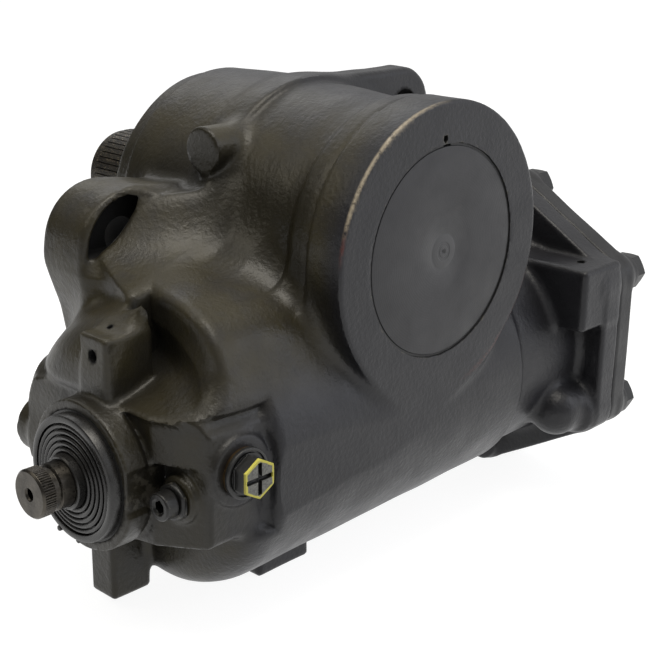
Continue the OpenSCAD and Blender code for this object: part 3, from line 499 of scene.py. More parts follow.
def plug_paint():
    """Black plug whose face is bare, with yellow marking paint left along its edge."""
    s = Shader("marked_plug")
    brush = s.noise(240, 4, 0.6)
    stain = s.noise(900, 3, 0.6)
    bare = s.ramp(stain, (0.3, (0.06, 0.06, 0.055)), (0.7, (0.22, 0.22, 0.20)))
    colour = s.mix(s.layer("face"), (0.013, 0.013, 0.013), bare)
    dab = s.patchy("mark", brush, (0.3, 0.55), (0.6, 1.4))
    colour = s.mix(s.ramp(dab, (0.3, 0.0), (0.5, 1.0)), colour, (0.66, 0.60, 0.10))
    gloss = s.ramp(stain, (0.3, 0.3), (0.7, 0.5))
    return s.set(Base_Color=colour, Roughness=gloss, Normal=s.bump(stain, 0.2, 0.0002))


CAST = painted("cast_paint", (0.0140, 0.0140, 0.0165), (0.0210, 0.0210, 0.0247), 0.38, 0.6,
               (0.07, 0.064, 0.05), film=(0.0350, 0.0293, 0.0142))
COVER_PAINT = painted("cover_paint", (0.0145, 0.0145, 0.0155), (0.024, 0.024, 0.0255), 0.42, 0.35,
                      (0.10, 0.05, 0.04))
BOLT_PAINT = painted("bolt_paint", (0.015, 0.015, 0.0155), (0.026, 0.026, 0.026), 0.38, 0.2,
                     (0.10, 0.09, 0.08), 0.45)
LID = lid_paint()
BLACK_SCREW = painted("black_screw", (0.010, 0.010, 0.010), (0.022, 0.021, 0.020), 0.33, 0.12,
                      (0.12, 0.11, 0.09), 0.5)
PLUG = plug_paint()
WASHER = metal("seal_washer", (0.10, 0.07, 0.04), (0.22, 0.15, 0.08), 0.4)
SHAFT = metal("shaft_steel", (0.034, 0.031, 0.027), (0.10, 0.091, 0.078), 0.32)
OILED = glint_speckled("oiled_steel")
GEAR = metal("gear_steel", (0.28, 0.27, 0.26), (0.46, 0.45, 0.44), 0.3)
BEARING = metal("bearing_steel", (0.42, 0.42, 0.41), (0.6, 0.6, 0.59), 0.24)
SPRING = metal("spring_steel", (0.3, 0.3, 0.29), (0.45, 0.45, 0.44), 0.28)
PLASTIC = rubbery("ring_plastic", (0.03, 0.022, 0.016), (0.06, 0.045, 0.03), 0.45)
RUBBER = rubbery("rubber", (0.010, 0.010, 0.010), (0.020, 0.020, 0.020), 0.55)
BOOT = rubbery("boot_rubber", (0.008, 0.0077, 0.0075), (0.018, 0.017, 0.016), 0.32)

SLOT_MATERIALS = {
    "cast_paint": CAST, "lid_paint": LID, "bolt_paint": BOLT_PAINT, "black_screw": BLACK_SCREW,
    "marked_plug": PLUG, "seal_washer": WASHER, "shaft_steel": SHAFT, "gear_steel": GEAR,
    "bearing_steel": BEARING, "spring_steel": SPRING, "ring_plastic": PLASTIC, "rubber": RUBBER,
    "boot_rubber": BOOT,
}

# Each CAD node takes its slot's material; two that show get their own
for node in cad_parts.values():
    old = node.data.materials[0].name.split(".")[0] if node.data.materials else ""
    chosen = SLOT_MATERIALS.get(old, GEAR)
    node.data.materials.clear()
    node.data.materials.append(chosen)
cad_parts["sector_shaft"].data.materials[0] = OILED
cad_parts["sector_cover_ring"].data.materials[0] = RUBBER


# Housing

HEX_AF, HEX_CORNER = 152.04, 86.0
BOLT_CIRCLE, BOLT_CENTRE_Z, BOLT_PAD = 74.5, 3.0, 10.5
BOLT_ANGLES = [math.radians(a) for a in range(30, 390, 60)]
BOLTS = [(BOLT_CIRCLE * math.cos(a), BOLT_CENTRE_Z + BOLT_CIRCLE * math.sin(a))
         for a in BOLT_ANGLES]
# Places in x and z, with radii
SIDE_LUG, SIDE_LUG_R, SIDE_HOLE = (-99.5, 82.5), 28.5, (-99.0, 87.0)
RECESS, RECESS_R, RECESS_FLOOR, RECESS_DEPTH = (-99.5, 83.5), 24.0, 82.0, 10.0
TOP_LUG, TOP_LUG_R, LUG_HOLE = (70.5, 132.0), 20.0, 8.75
LOW_LUGS, LOW_LUG_R, LOW_LUG_BORE = ((92.5, 30.0), (-60.0, -30.0)), 19.0, 8.25
FLANGE_DOT, FLANGE_DOT_R = (-2.2, 136.3), 1.5
# Places in y and z, and in x and y
LIMITER, LIMITER_BORE, STOP_HOLE_Z, STOP_HOLE = (-43.5, -2.5), 5.0, 53.0, 2.75
STOP_DOT, STOP_DOT_R, BLOCK_HOLE, BLOCK_HOLE_R = (-142.7, 1.5), 1.2, (121.0, -62.0), 2.1
RELIEF_X, RELIEF_Z, RELIEF_FACE, RELIEF_BORE = -124.016, 10.0, -61.5, 5.0
# Each port: its face, its height, and the radii of its boss and its bore
PORT_X, PORT_PASSAGE = -134.016, 4.0
PORTS = ((59.0, 22.0, 12.25, 8.25), (72.0, -4.0, 14.25, 10.25))
# Radii of the bores along the worm axis and along the sector axis
PISTON_BORE, NECK_BORE, VALVE_BORE = 52.5, 18.0, 30.0
LID_BORE, BEARING_BORE, SHAFT_BORE, SEAL_BORE = 50.72, 32.02, 27.0, 34.02
DRUM_R, WAVE_HEIGHT, COVER_SIDE = 69.0, 0.12, 95.0
FOOT_LOW, FOOT_HIGH = (-75, -19, -77.5), (-41, 40, -30)
HEAD_OUTLINE = [(-58.5, -23.5), (-12.5, -30), (46, -24), (60, -14), (60, 14), (54, 27), (34, 33),
                (-53.5, 33), (-58.5, 28)]


def hexagonal(y, z):
    """Outline of the cover flange: a hexagon with its corners rounded off."""
    up = z - BOLT_CENTRE_Z
    return rounded(hexagon(y, up, HEX_AF), np.hypot(y, up) - HEX_CORNER, 3)


def waves(x, y, z):
    """Slow unevenness of a cast skin."""
    first = np.sin(x / 6.1 + 1.3) * np.sin(y / 7.3)
    second = np.sin(y / 5.2 + z / 8.9) * np.sin(x / 9.7 - 0.4)
    return WAVE_HEIGHT * (first + second)


def ledge_line(y, height):
    """Line of the ledge above the side lug, which falls a little towards the rear."""
    return height - 0.16 * (y - 35)


def drum_sdf(x, y, z):
    """Drum with the lid flange in front; two low ridges run round it behind the flange."""
    r = np.hypot(x, z - SECTOR_Z)
    radius = profile(y, (-66, 70.5), (-46, 70.5), (-43.8, 69.1), (-41.5, 69.5), (-34.5, 69.3),
                     (-32.5, 68.7), (-29.5, 66.4), (-24, 66.4), (-12, 67.4), (10, 68.4),
                     (60, 68.4), (88, 67.4), (90.5, 66.8), (100, 65.4))
    front = rounded(r - radius, LID_Y - y, 1.6)
    return rounded(front, y - DRUM_END, 2.0)


def slab_sdf(x, y, z):
    """Raised rear half of the drum, which ends in a ledge above the side lug."""
    r = np.hypot(x, z - SECTOR_Z)
    skin = r - profile(y, (22, 70.5), (40, 70.4), (89, 68.4))
    front = np.where((x < 0) & (z < 122), 33.5, 22.0)
    ledge = np.where(x < 0, ledge_line(y, 110) - z, 20 - z)
    return rounded(rounded(skin, np.maximum(front - y, y - 89), 0.7), ledge, 0.9)


def barrel_sdf(x, y, z):
    """Barrel of the piston, a little wider to its rounded end, with a neck at the cover."""
    r = np.hypot(y, z)
    radius = profile(x, (-126, 68.5), (70, 64.7), (76, 60.5), (128, 60.5))
    d = rounded(r - radius, BARREL_END - x, 27)
    return np.maximum(d, x - FLANGE_BACK - 1)


def shoulder_sdf(x, y, z):
    """Sloping mass between the drum, the barrel's end and the side lug.

    Its left edge runs from the lug down to the barrel's end; from there the top rises to
    the drum, the steeper the nearer it is to the lug."""
    left = (-129 - x) * 0.957 + (y - 8) * 0.289
    inward = -np.minimum(left, 0)
    slope = profile(y, (-30, 0.0), (10, 0.22))
    near = np.clip(y / 40, 0, 1.1) ** 2
    bend = 0.032 * near
    rise = 74 + 11 * near + slope * inward + bend * inward ** 2
    crest = smin(rise, ledge_line(y, 107), 8)
    top = (z - crest) / np.hypot(np.minimum(slope + 2 * bend * inward, 1.5), 1)
    d = smax(top, left, 2.5)
    d = smax(d, -52 - y, 34)
    d = np.maximum(d, -z)
    d = np.maximum(d, x + 20)
    return rounded(d, y - MOUNT, 3)


def lug_sdf(x, y, z):
    """Side lug: a disc on an arm from the drum, with a web down to the barrel."""
    web = outline(x, z, [(-127, 82.5), (-112, 34), (-40, 18), (-40, 84)], 6)
    disc = np.hypot(x - SIDE_LUG[0], z - SIDE_LUG[1]) - SIDE_LUG_R
    arm = tapered(x, z, (0, SECTOR_Z), 6, SIDE_LUG, SIDE_LUG_R)
    return rounded(smin(np.minimum(disc, arm), web, 8), span(y, LUG_FRONT, MOUNT), 3)


def lug_recess_sdf(x, y, z):
    """Hollow in front of the side lug's hole: a disc whose lower half is left solid."""
    across = np.hypot(x - RECESS[0], z - RECESS[1]) - RECESS_R
    across = np.maximum(across, RECESS_FLOOR - z)
    return rounded(across, span(y, LUG_FRONT, LUG_FRONT + RECESS_DEPTH), 1.5)


def head_pocket_sdf(x, y, z):
    """What the head takes from the barrel's end: the dished hollow beside the stop lug, the notch
    where the head's front stands free, and the head's face."""
    dish = np.clip((61 - np.hypot(y, z)) / 14, 0, 1)
    wall = x + 121 - 0.14 * (y + 5) - 7 * dish
    bed = (34 + 0.4 * (x + 145) - z) * 0.93
    bowl = smax(wall, bed, 14)
    beside = smax(bowl, y + 9.5, 3)
    behind = np.maximum(np.maximum(bowl, y - 2), -130 - x)
    notch = np.maximum(np.maximum(x + 107, y + 45), np.maximum(-22 - z, z - 34))
    face = np.maximum(x + profile(y, (-5, 138.5), (5, 144)), span(z, -24, 32))
    return np.minimum(np.minimum(beside, behind), np.minimum(notch, face))


def low_pocket_sdf(x, z):
    """What is cut from the barrel's end below the head."""
    return np.maximum(x + 124, z + 22)


def head_sdf(x, y, z):
    """Valve head: plate with a leaning face, input boss, relief boss, stop lug and ports."""
    lean = np.maximum(-32 - y, 0) * 0.377
    face = HEAD - 4 + lean - x
    plate = rounded(outline(y, z, HEAD_OUTLINE, 4), np.maximum(face * 0.94, x - HEAD - 40), 1.3)
    boss = rod(y, z, x, 34.5, BOSS, -151, 1.5)
    neck = rod(y, z, x, 33, BOSS + 4, -120, 1)
    d = smin(smin(plate, neck, 3), boss, 1.5)
    relief = rod(x - RELIEF_X, z - RELIEF_Z, y, 15.8, RELIEF_FACE, -20, 1.2)
    d = smin(d, relief, 4)
    well = np.maximum(rounded(y + 31.4, span(z, -9.5, 12), 3), x + 141.5)
    d = smax(d, -well, 1.2)
    pad = rod(y - LIMITER[0], z - LIMITER[1], x, 10.8, HEAD - 0.5, HEAD + 6, 1.8)
    d = smin(d, pad, 2.5)
    lug = box(x, y, z, (BOSS + 9.3, -9.5, 0), (BOSS + 33, 9.5, 62), 1.6)
    d = smin(d, lug, 3)
    for reach, height, boss_r, _ in PORTS:
        d = smin(d, rod(x - PORT_X, z - height, y, boss_r, 30, reach, 1.5), 6)
    return d


def flange_sdf(x, y, z):
    """Flange that carries the cylinder cover, with the dome and the block in front of it."""
    plate = rounded(hexagonal(y, z), span(x, FLANGE_BACK, FLANGE), 1.5)
    for by, bz in BOLTS:
        plate = smin(plate, rod(y - by, z - bz, x, BOLT_PAD, FLANGE_BACK - 5, FLANGE, 2.0), 4)
    dome_y, dome_z, dome_r = -57.6, -30.25, 14.5
    dome = (x - np.clip(x, 113, 130)) ** 2 + (y - dome_y) ** 2 + (z - dome_z) ** 2
    dome = np.sqrt(dome) - dome_r
    plate = smin(plate, dome, 6)
    return smin(plate, box(x, y, z, (106, -76, 19), (140, -30, 53), 3), 4)


def cavities_sdf(x, y, z):
    """Bores, chambers and holes, with three small ones that the CAD part lacks."""
    axis, sector = (0, 0), (0, SECTOR_Z)

    def bore(u, v, centre, r, along, low, high):
        across = np.hypot(u - centre[0], v - centre[1])
        return np.maximum(across - r, span(along, low, high))

    cuts = [
        bore(y, z, axis, PISTON_BORE, x, BULKHEAD, 150),
        bore(y, z, axis, NECK_BORE, x, SHOULDER - 1, BULKHEAD + 1),
        bore(y, z, axis, VALVE_BORE, x, BOSS - 5, SHOULDER),
        bore(x, z, sector, LID_BORE, y, LID_Y - 5, 29.1),
        bore(x, z, sector, BEARING_BORE, y, 0, 75.1),
        bore(x, z, sector, SHAFT_BORE, y, 0, 110),
        bore(x, z, sector, SEAL_BORE, y, 78.1, 110),
        bore(x, z, SIDE_HOLE, LUG_HOLE, y, LUG_FRONT, 80),
        bore(x, z, TOP_LUG, LUG_HOLE, y, 15, 45),
        bore(y, z, (0, STOP_HOLE_Z), STOP_HOLE, x, BOSS + 5, BOSS + 20),
        bore(x, y, STOP_DOT, STOP_DOT_R, z, 58, 66),
        bore(x, z, FLANGE_DOT, FLANGE_DOT_R, y, LID_Y - 5, LID_Y + 5),
        bore(x, y, BLOCK_HOLE, BLOCK_HOLE_R, z, 46, 58),
        bore(y, z, LIMITER, LIMITER_BORE, x, HEAD - 5, BULKHEAD + 1),
        bore(x, z, (RELIEF_X, RELIEF_Z), RELIEF_BORE, y, RELIEF_FACE - 5, RELIEF_FACE + 26),
    ]
    for lug in LOW_LUGS:
        cuts.append(bore(x, z, lug, LOW_LUG_BORE, y, MOUNT - 22, 80))
    for reach, height, _, r in PORTS:
        port = (PORT_X, height)
        cuts.append(bore(x, z, port, r, y, reach - 18, reach + 5))
        cuts.append(bore(x, z, port, PORT_PASSAGE, y, 12, reach - 17))
    d = cuts[0]
    for c in cuts[1:]:
        d = np.minimum(d, c)
    return d


def housing_sdf(x, y, z):
    """The whole casting. The order of the joins matters, because each rounds what is there."""
    barrel = smin(barrel_sdf(x, y, z), shoulder_sdf(x, y, z), 7)
    d = smax(barrel, -low_pocket_sdf(x, z), 20)
    d = smax(d, -head_pocket_sdf(x, y, z), 6)
    soft = profile(y, (-52, 10), (-35, 14), (-15, 26), (8, 26), (24, 12), (40, 7))
    d = smin(d, drum_sdf(x, y, z), soft)
    d = smin(d, slab_sdf(x, y, z), 1.2)
    lug_soft = profile(z, (60, 22), (74, 18), (84, 2.5), (100, 2.5), (108, 9))
    d = smin(d, lug_sdf(x, y, z), lug_soft)
    arm = tapered(x, z, (0, SECTOR_Z), 69.5, TOP_LUG, TOP_LUG_R)
    d = smin(d, rounded(arm, span(y, 22, 38), 3.5), 7)
    stub = smin(rod(y - 25, z - 126.5, x, 11, -69, -20, 1.4),
                box(x, y, z, (-66, 21, 104), (-20, 27, 125), 1.5), 4)
    d = smin(d, stub, 5)
    for lx, lz in LOW_LUGS:
        d = smin(d, rod(x - lx, z - lz, y, LOW_LUG_R, 30, MOUNT, 2), 10)
    d = smin(d, box(x, y, z, FOOT_LOW, FOOT_HIGH, 2.5), 6)
    d = smin(d, box(x, y, z, (HEAD, 4.5, -71.5), (HEAD + 22, 21.5, -20), 2.2), 5)
    d = smin(d, head_sdf(x, y, z), 4)
    d = smin(d, flange_sdf(x, y, z), 6)
    d = d + waves(x, y, z)
    d = smax(d, -lug_recess_sdf(x, y, z), 3)
    # Machined faces; the lid's ends short of the cover flange, which stands further out
    for face in (np.minimum(LID_Y - y, COVER_SIDE - x), x - FLANGE, BOSS - x):
        d = np.maximum(d, face)
    return np.maximum(d, -cavities_sdf(x, y, z))


housing_verts, housing_faces = contour(
    housing_sdf,
    steps((-165, -100, 1.05), (-100, 100, 1.5), (100, 143, 1.25)),
    steps((-80, -30, 1.2), (-30, 102, 1.5)),
    steps((-87, -30, 1.5), (-30, 60, 1.2), (60, 156, 1.4)))
housing = mesh("housing_casting", housing_verts, housing_faces, sharp=40)
edge_layer(housing, housing_sdf, housing_verts)
hx, hy, hz = housing_verts.T
up = hz - SECTOR_Z
radius = np.hypot(hx, up)

# Painted shade: the inside of holes and of the lug's recess is painted near black
holes = np.minimum(cavities_sdf(hx, hy, hz), lug_recess_sdf(hx, hy, hz))
paint_layer(housing, "deep", fade(np.abs(holes), 0.7, 0.3) * (hy > LID_Y + 0.3))

# Oil film on the upper left and on the head
oily = fade(hx, -5, -45) * np.maximum(fade(hz, 10, 45), fade(hx, -112, -122))
paint_layer(housing, "film", oily * fade(hy, -62, -52))

# Stain layer: painted shade on the drum's left flank and on the end of the stub, and a darker,
# glossier head
flank_shade = fade(radius - DRUM_R, 18, 6) * fade(hx, -38, -52) * fade(hz, 132, 112)
flank_shade *= fade(hy, -48, -38) * fade(hz, 62, 78)
darker_head = 0.6 * fade(hx, -126, -134) * fade(hz, 50, 42)
stub_end_shade = 0.9 * (hx < -67.5) * (hz > 113) * (np.abs(hy - 25) < 12)
paint_layer(housing, "stain", np.maximum(np.maximum(flank_shade, darker_head), stub_end_shade))

# Worn places on the front edge of the lid's flange, by the angle round the lid
rim = fade(radius, 69.2, 69.8) * fade(radius, 71.2, 70.8) * fade(hy, -64.4, -65.0)
angle = np.degrees(np.arctan2(up, hx)) % 360
bare = profile(angle, (88, 0), (104, 0.7), (125, 1), (160, 1), (166, 0))
primer = profile(angle, (160, 0), (168, 0.9), (176, 0), (282, 0), (300, 0.5), (335, 0.9), (350, 0))
paint_layer(housing, "bare", rim * bare)
paint_layer(housing, "primer", rim * primer)
place(housing, "casing", "cast_paint", CAST, "housing")


# Cylinder cover and its bolts

SPIGOT_R, COVER_HOLLOW, BOLT_HOLE = 52.48, 43.5, 6.5
BOLT_AF, BOLT_HEAD, BOLT_SHANK, SHANK_LENGTH = 18, 7.5, 6, 34


def cover_sdf(x, y, z):
    r = np.hypot(y, z)
    d = rounded(hexagonal(y, z), span(x, FLANGE, COVER), 1.8)
    for by, bz in BOLTS:
        d = smin(d, rod(y - by, z - bz, x, BOLT_PAD, COVER - 4, BOLT_SEAT, 1.2), 4)
    hub_r = profile(x, (COVER, 46), (COVER + 5, 42))
    hub = rounded(r - hub_r, span(x, COVER - 4, COVER + 5), 2)
    d = smin(d, hub, 4)
    d = d + waves(x, y, z)
    d = np.maximum(d, FLANGE - x)
    d = np.minimum(d, np.maximum(r - SPIGOT_R, span(x, SPIGOT, FLANGE + 2)))
    d = np.maximum(d, -np.maximum(r - COVER_HOLLOW, x - FLANGE - 4))
    for by, bz in BOLTS:
        d = np.maximum(d, BOLT_HOLE - np.hypot(y - by, z - bz))
    return d


cover = contoured("cylinder_cover_casting", cover_sdf, steps((132, 163, 1.0)),
                  steps((-88, 88, 1.3)), steps((-86, 92, 1.3)))
place(cover, "casing", "cast_paint", COVER_PAINT, "cylinder_cover")


def bolt_sdf(x, a, b):
    """One bolt; a and b are measured from its axis."""
    r = np.hypot(a, b)
    head = np.maximum(hexagon(b, a, BOLT_AF), span(x, BOLT_SEAT, BOLT_SEAT + BOLT_HEAD))
    crown = (r - 9.1 + (x - BOLT_SEAT - BOLT_HEAD) * 1.9) * 0.465
    head = rounded(head, crown, 0.4)
    dish = np.maximum(r - 6.2, BOLT_SEAT + 7.1 - x)
    head = smax(head, -dish, 0.6)
    shank = np.maximum(r - BOLT_SHANK, span(x, BOLT_SEAT - SHANK_LENGTH, BOLT_SEAT + 1))
    return np.minimum(head, shank)


bolt_verts, bolt_faces = contour(bolt_sdf, steps((125, 159, 2.0), (159, 168.5, 0.5)),
                                 steps((-11.5, 11.5, 0.5)), steps((-11.5, 11.5, 0.5)))
six_verts = np.concatenate([bolt_verts + np.array([0, by, bz]) for by, bz in BOLTS])
six_faces = np.concatenate([bolt_faces + i * len(bolt_verts) for i in range(len(BOLTS))])


def bolts_sdf(x, y, z):
    return np.min([bolt_sdf(x, y - by, z - bz) for by, bz in BOLTS], 0)


bolts = mesh("cover_bolt_set", six_verts, six_faces)
edge_layer(bolts, bolts_sdf, six_verts, reach=1.2, deep=4)
place(bolts, "casing", "bolt_paint", BOLT_PAINT, "cover_bolts")


# Lid over the sector shaft

lid = lathe("sector_lid", [
    (-60.0, 0.01), (-60.0, 24.02), (-27, 24.02), (-27, 29), (-52, 29), (-52, 50.7), (-54.8, 50.7),
    (-54.8, 47.9), (-58, 47.9), (-58, 50.7), (-63.2, 50.7), (-63.2, 49.68), (-64.9, 49.68),
    (-65.35, 49.4), (-65.5, 48.9), (-65.5, 9.2), (-65.35, 8.8), (-65.35, 8.2), (-65.5, 7.8),
    (-65.5, 4.6), (-65.25, 4.2), (-65.25, 3.0), (-65.5, 2.6), (-65.5, 1.6), (-64.4, 0.01),
], "y", sides=200)
place(lid, "casing", "lid_paint", LID, "sector_cover")


# Input end: boot, shaft, plug and limiter

FOLDS, FOLD_PITCH, FOLD_START, FOLD_RISE = 5, 2.55, 25.2, 0.35
boot_points = [(BOSS, 10.8), (BOSS, 29), (BOSS - 4.2, 29), (BOSS - 5.0, 28.7), (BOSS - 5.4, 28.0),
               (BOSS - 5.4, 26.0), (BOSS - 5.1, 25.5)]
for i in range(FOLDS):
    r, top = FOLD_START - i * FOLD_PITCH, BOSS - 5.0 - i * FOLD_RISE
    boot_points += [(top + 2.4, r + 0.1), (top + 2.4, r - 0.12), (top + 0.45, r - 0.38),
                    (top, r - 0.85), (top - 0.1, r - 1.25), (top, r - 1.75), (top + 0.4, r - 2.25)]
boot_points += [(BOSS - 5.6, 12.5), (BOSS - 9.4, 12.3), (BOSS - 10, 11.7), (BOSS - 10, 10.8)]
boot = lathe("dust_boot_folds", boot_points + [boot_points[0]], "x", sides=128)
place(boot, "casing", "boot_rubber", BOOT, "dust_boot")

TEETH, SERRATION_END = 60, INPUT_END + 6.6
# The hidden spool and tang are a little slimmer than in CAD, to turn clear of the valve sleeve
SPOOL_R, TANG_HALF, TANG = 13.85, 5.25, (-114.016, -106.016)
TORSION_BORE, TORSION_BORE_END, CENTRE_HOLE_DEPTH, END_GAP = 4.55, -161.066, 6, 0.05


def shaft_sdf(x, y, z):
    """Input shaft: serrated end, clamp groove, neck, spool and tang."""
    r = np.hypot(y, z)
    teeth = np.abs((np.arctan2(z, y) * TEETH / (2 * math.pi)) % 1 - 0.5)
    teeth = np.clip((teeth - 0.15) * 4, 0, 1)
    plain = profile(x, (INPUT_END, 10.2), (INPUT_END + 0.9, 11.1), (SERRATION_END, 11.0),
                    (SERRATION_END + 0.6, 9.4), (SERRATION_END + 3.2, 9.4),
                    (SERRATION_END + 3.8, 10.5), (-146.016, 10.5), (-143.016, SPOOL_R),
                    (TANG[0], SPOOL_R))
    crest = np.where((x > INPUT_END + 1.2) & (x < SERRATION_END), plain - 0.55 * teeth, plain)
    d = np.maximum((r - crest) * 0.8, span(x, INPUT_END, TANG[0] - END_GAP))
    tang = np.maximum(r - SPOOL_R, np.abs(z) - TANG_HALF)
    d = np.minimum(d, np.maximum(tang, span(x, TANG[0] - 1, TANG[1] - END_GAP)))
    d = np.maximum(d, -np.maximum(r - TORSION_BORE, TORSION_BORE_END - x))
    hole_r = profile(x, (INPUT_END, 3.1), (INPUT_END + 0.9, 2.4))
    return np.maximum(d, -np.maximum(r - hole_r, x - INPUT_END - CENTRE_HOLE_DEPTH))


shaft = contoured("input_shaft_end", shaft_sdf,
                  steps((-190.2, -178, 0.35), (-178, -105, 1.1)),
                  steps((-14.6, 14.6, 0.17)), steps((-14.6, 14.6, 0.17)))
place(shaft, "input", "shaft_steel", SHAFT, "input_shaft")


def screw_sdf(x, y, z):
    """Limiter screw: round cap with a hexagon socket."""
    a, b = y - LIMITER[0], z - LIMITER[1]
    r = np.hypot(a, b)
    d = rounded(r - 6.3, span(x, HEAD - 10.5, HEAD - 3.6), 0.9)
    d = np.minimum(d, np.maximum(r - LIMITER_BORE, span(x, HEAD - 9, -106)))
    rim = np.maximum(r - profile(x, (HEAD - 10.5, 3.9), (HEAD - 9.7, 3.0)), x - HEAD + 9.7)
    d = np.maximum(d, -rim)
    return np.maximum(d, -np.maximum(hexagon(a, b, 5.2), x - HEAD + 5.5))


screw = contoured("limiter_screw_cap", screw_sdf, steps((-156.5, -148, 0.3), (-148, -105, 1.5)),
                  steps((-50.5, -36.5, 0.3)), steps((-9.5, 4.5, 0.3)))
place(screw, "casing", "black_screw", BLACK_SCREW, "limiter_screw")


def collar_sdf(x, y, z):
    """Lock nut of the limiter, with uneven edges."""
    a, b = y - LIMITER[0], z - LIMITER[1]
    r = np.hypot(a, b)
    d = smax(hexagon(a, b, 16.4), r - 8.7, 1.5)
    d = rounded(d, span(x, HEAD - 3.6, HEAD - 0.5), 1.0)
    d = d - 0.12 * np.sin(3 * np.arctan2(b, a) + 2 * x)
    return np.maximum(np.maximum(d, x - HEAD + 0.5), 5.02 - r)


collar = contoured("limiter_lock_nut", collar_sdf, steps((-149.4, -144.9, 0.3)),
                   steps((-53.5, -33.5, 0.35)), steps((-12.5, 7.5, 0.35)))
place(collar, "casing", "black_screw", BLACK_SCREW, "limiter_nut")


# Each pin at the boot's lower edge: its end, y, z and radius
RING_ENDS = ((-168.6, 11.0, -27.4, 1.3), (-165.4, 1.6, -30.8, 1.6))


def ring_ends_sdf(x, y, z):
    ends = [rod(y - b, z - c, x, r, a, BOSS + 3, 0.4) for a, b, c, r in RING_ENDS]
    return np.minimum(*ends)


ring_ends = contoured("boot_ring_ends", ring_ends_sdf, steps((-169.5, -159, 0.4)),
                      steps((-1, 13.5, 0.35)), steps((-33.5, -25, 0.35)))
place(ring_ends, "casing", "black_screw", BLACK_SCREW)


PLUG_AF, PLUG_HEIGHT, PLUG_SEAT = 16, 9.5, RELIEF_FACE - 1.5


def plug_sdf(x, y, z):
    """Relief plug: hexagon with a cross slot, on a grooved rim."""
    a, b = x - RELIEF_X, z - RELIEF_Z
    r = np.hypot(a, b)
    seat = PLUG_SEAT
    head = np.maximum(hexagon(a, b, PLUG_AF), span(y, seat - PLUG_HEIGHT, seat - 2))
    head = rounded(head, (r - 9.0 - (y - seat + PLUG_HEIGHT) * 1.8) * 0.485, 0.3)
    rim = rod(a, b, y, 11.6, seat - 2.4, seat, 0.7)
    d = np.minimum(head, np.maximum(rim, -np.maximum(span(r, 9.3, 10.2), y - seat + 1.2)))
    cross = np.minimum(box(a, y, b, (-7.3, seat - 12, -1.15), (7.3, seat - 7.3, 1.15), 0.2),
                       box(a, y, b, (-1.15, seat - 12, -7.3), (1.15, seat - 7.3, 7.3), 0.2))
    d = np.maximum(d, -cross)
    d = np.minimum(d, np.maximum(r - RELIEF_BORE, span(y, seat - 1, RELIEF_FACE + 14)))
    return np.maximum(d, -np.maximum(r - 3.6, RELIEF_FACE + 8 - y))


plug = contoured("relief_plug_head", plug_sdf, steps((-136.5, -111.5, 0.3)),
                 steps((-73.2, -61, 0.3), (-61, -46.5, 1.2)), steps((-2.5, 22.5, 0.3)))
plug_points = np.array([v.co for v in plug.data.vertices]) * 1000 + ROW_ORIGIN
plug_edge = hexagon(plug_points[:, 0] - RELIEF_X, plug_points[:, 2] - RELIEF_Z, PLUG_AF)
plug_depth = plug_points[:, 1] - (PLUG_SEAT - PLUG_HEIGHT)
paint_layer(plug, "face", 1 - plug_depth / 0.3)
paint_layer(plug, "mark", (1 + plug_edge / 1.6) * np.clip(1.6 - plug_depth, 0, 1))
place(plug, "casing", "marked_plug", PLUG, "relief_plug")


# Camera, floor and light

camera = bpy.data.objects.new("camera", bpy.data.cameras.new("camera"))
camera.data.sensor_width = 36
camera.data.lens = 73.67
camera.data.clip_end = 50
EYE = (-0.4737, -0.5984, 0.1697)
RIGHT, UP, BACK = (0.6957, -0.7183, 0.0114), (0.2265, 0.2344, 0.9453), (-0.6817, -0.6551, 0.3257)
turn = Matrix((RIGHT, UP, BACK)).transposed()
camera.matrix_world = Matrix.Translation(EYE) @ turn.to_4x4()
scene.collection.objects.link(camera)
scene.camera = camera

# The floor lies under the foot's outer edge and the cover's lowest edge, given in x and z
FOOT_EDGE, HEX_EDGE = (-75.0, -77.6), (154.0, -83.3)
FLOOR_TILT = math.atan2(HEX_EDGE[1] - FOOT_EDGE[1], HEX_EDGE[0] - FOOT_EDGE[0])
FLOOR_SIZE, FLOOR_Y, FLOOR_GLOW = 80.0, -0.15, 0.91


def floor_material():
    """White to the camera and in gloss, with the object's soft shadow kept."""
    s = Shader("floor_white")
    s.set(Roughness=0.9, Specular_IOR_Level=0.1)
    grain = s.noise(3.0, 2, 0.5)
    s.link(s.ramp(grain, (0.3, 0.24), (0.7, 0.26)), s.bsdf.inputs["Base Color"])
    glow = s.add("ShaderNodeEmission")
    path = s.add("ShaderNodeLightPath")
    seen = s.math("MAXIMUM", path.outputs["Is Camera Ray"], path.outputs["Is Glossy Ray"])
    seen = s.math("MAXIMUM", seen, path.outputs["Is Transmission Ray"])
    s.link(s.math("MULTIPLY", seen, FLOOR_GLOW), glow.inputs["Strength"])
    both = s.add("ShaderNodeAddShader")
    s.link(s.bsdf.outputs[0], both.inputs[0])
    s.link(glow.outputs[0], both.inputs[1])
    s.link(both.outputs[0], s.output.inputs[0])
    return s.material


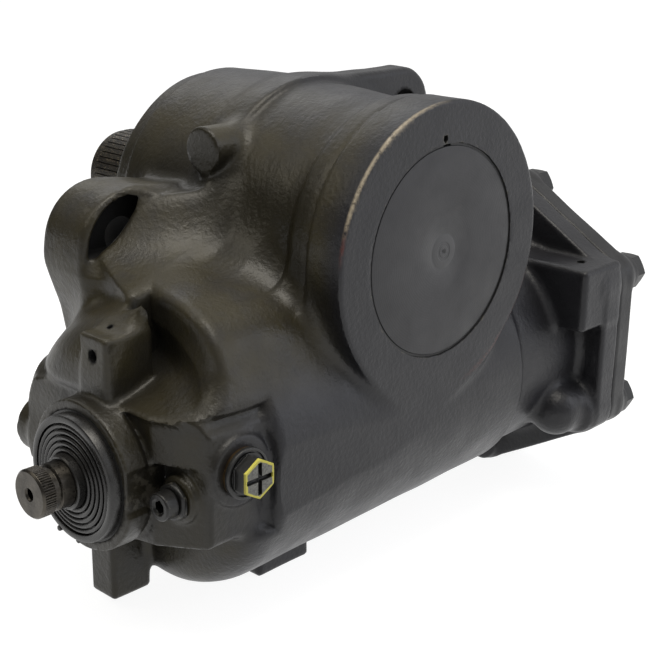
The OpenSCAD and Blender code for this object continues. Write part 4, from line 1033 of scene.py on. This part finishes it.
half = FLOOR_SIZE / 2
corners = [(-half, -half, 0), (half, -half, 0), (half, half, 0), (-half, half, 0)]
floor_data = bpy.data.meshes.new("floor")
floor_data.from_pydata(corners, [], [(0, 1, 2, 3)])
floor = bpy.data.objects.new("floor", floor_data)
floor.location = (FOOT_EDGE[0] / 1000, FLOOR_Y, (FOOT_EDGE[1] - SECTOR_Z) / 1000)
floor.rotation_euler = (0, -FLOOR_TILT, 0)
floor_data.materials.append(floor_material())
scene.collection.objects.link(floor)

world = bpy.data.worlds.new("studio")
scene.world = world
world.use_nodes = True
tree = world.node_tree
background = tree.nodes["Background"]
background.inputs["Color"].default_value = (1, 1, 1, 1)
# Bright overhead and to the right, dim to the left and behind the camera
towards = tree.nodes.new("ShaderNodeVectorMath")
towards.operation = "DOT_PRODUCT"
towards.inputs[1].default_value = (0.52, -0.25, 0.82)
tree.links.new(tree.nodes.new("ShaderNodeTexCoord").outputs["Generated"], towards.inputs[0])
sky = tree.nodes.new("ShaderNodeMapRange")
for key, value in (("From Min", -0.25), ("From Max", 0.80), ("To Min", 0.045), ("To Max", 0.74)):
    sky.inputs[key].default_value = value
tree.links.new(towards.outputs["Value"], sky.inputs["Value"])
tree.links.new(sky.outputs["Result"], background.inputs["Strength"])


CENTRE = (0.0, -0.14, -0.05)


def lamp(name, at, size, power, colour):
    """Soft lamp that points at the middle of the object."""
    data = bpy.data.lights.new(name, "AREA")
    data.shape = "RECTANGLE"
    data.size, data.size_y = size
    data.energy = power
    data.color = colour
    light = bpy.data.objects.new(name, data)
    light.location = at
    aim = Vector(at) - Vector(CENTRE)
    light.rotation_euler = aim.to_track_quat("Z", "Y").to_euler()
    scene.collection.objects.link(light)


lamp("key", (-0.10, -0.35, 1.35), (0.9, 0.8), 12, (1.0, 0.95, 0.85))
lamp("fill", (-0.85, 0.35, 1.0), (0.6, 0.6), 2.6, (1.0, 0.94, 0.80))
lamp("side", (0.9, -1.3, 0.55), (0.9, 1.1), 4.6, (0.88, 0.91, 1.0))
lamp("rear", (0.5, 0.9, 0.9), (0.9, 0.6), 2, (1.0, 1.0, 1.0))
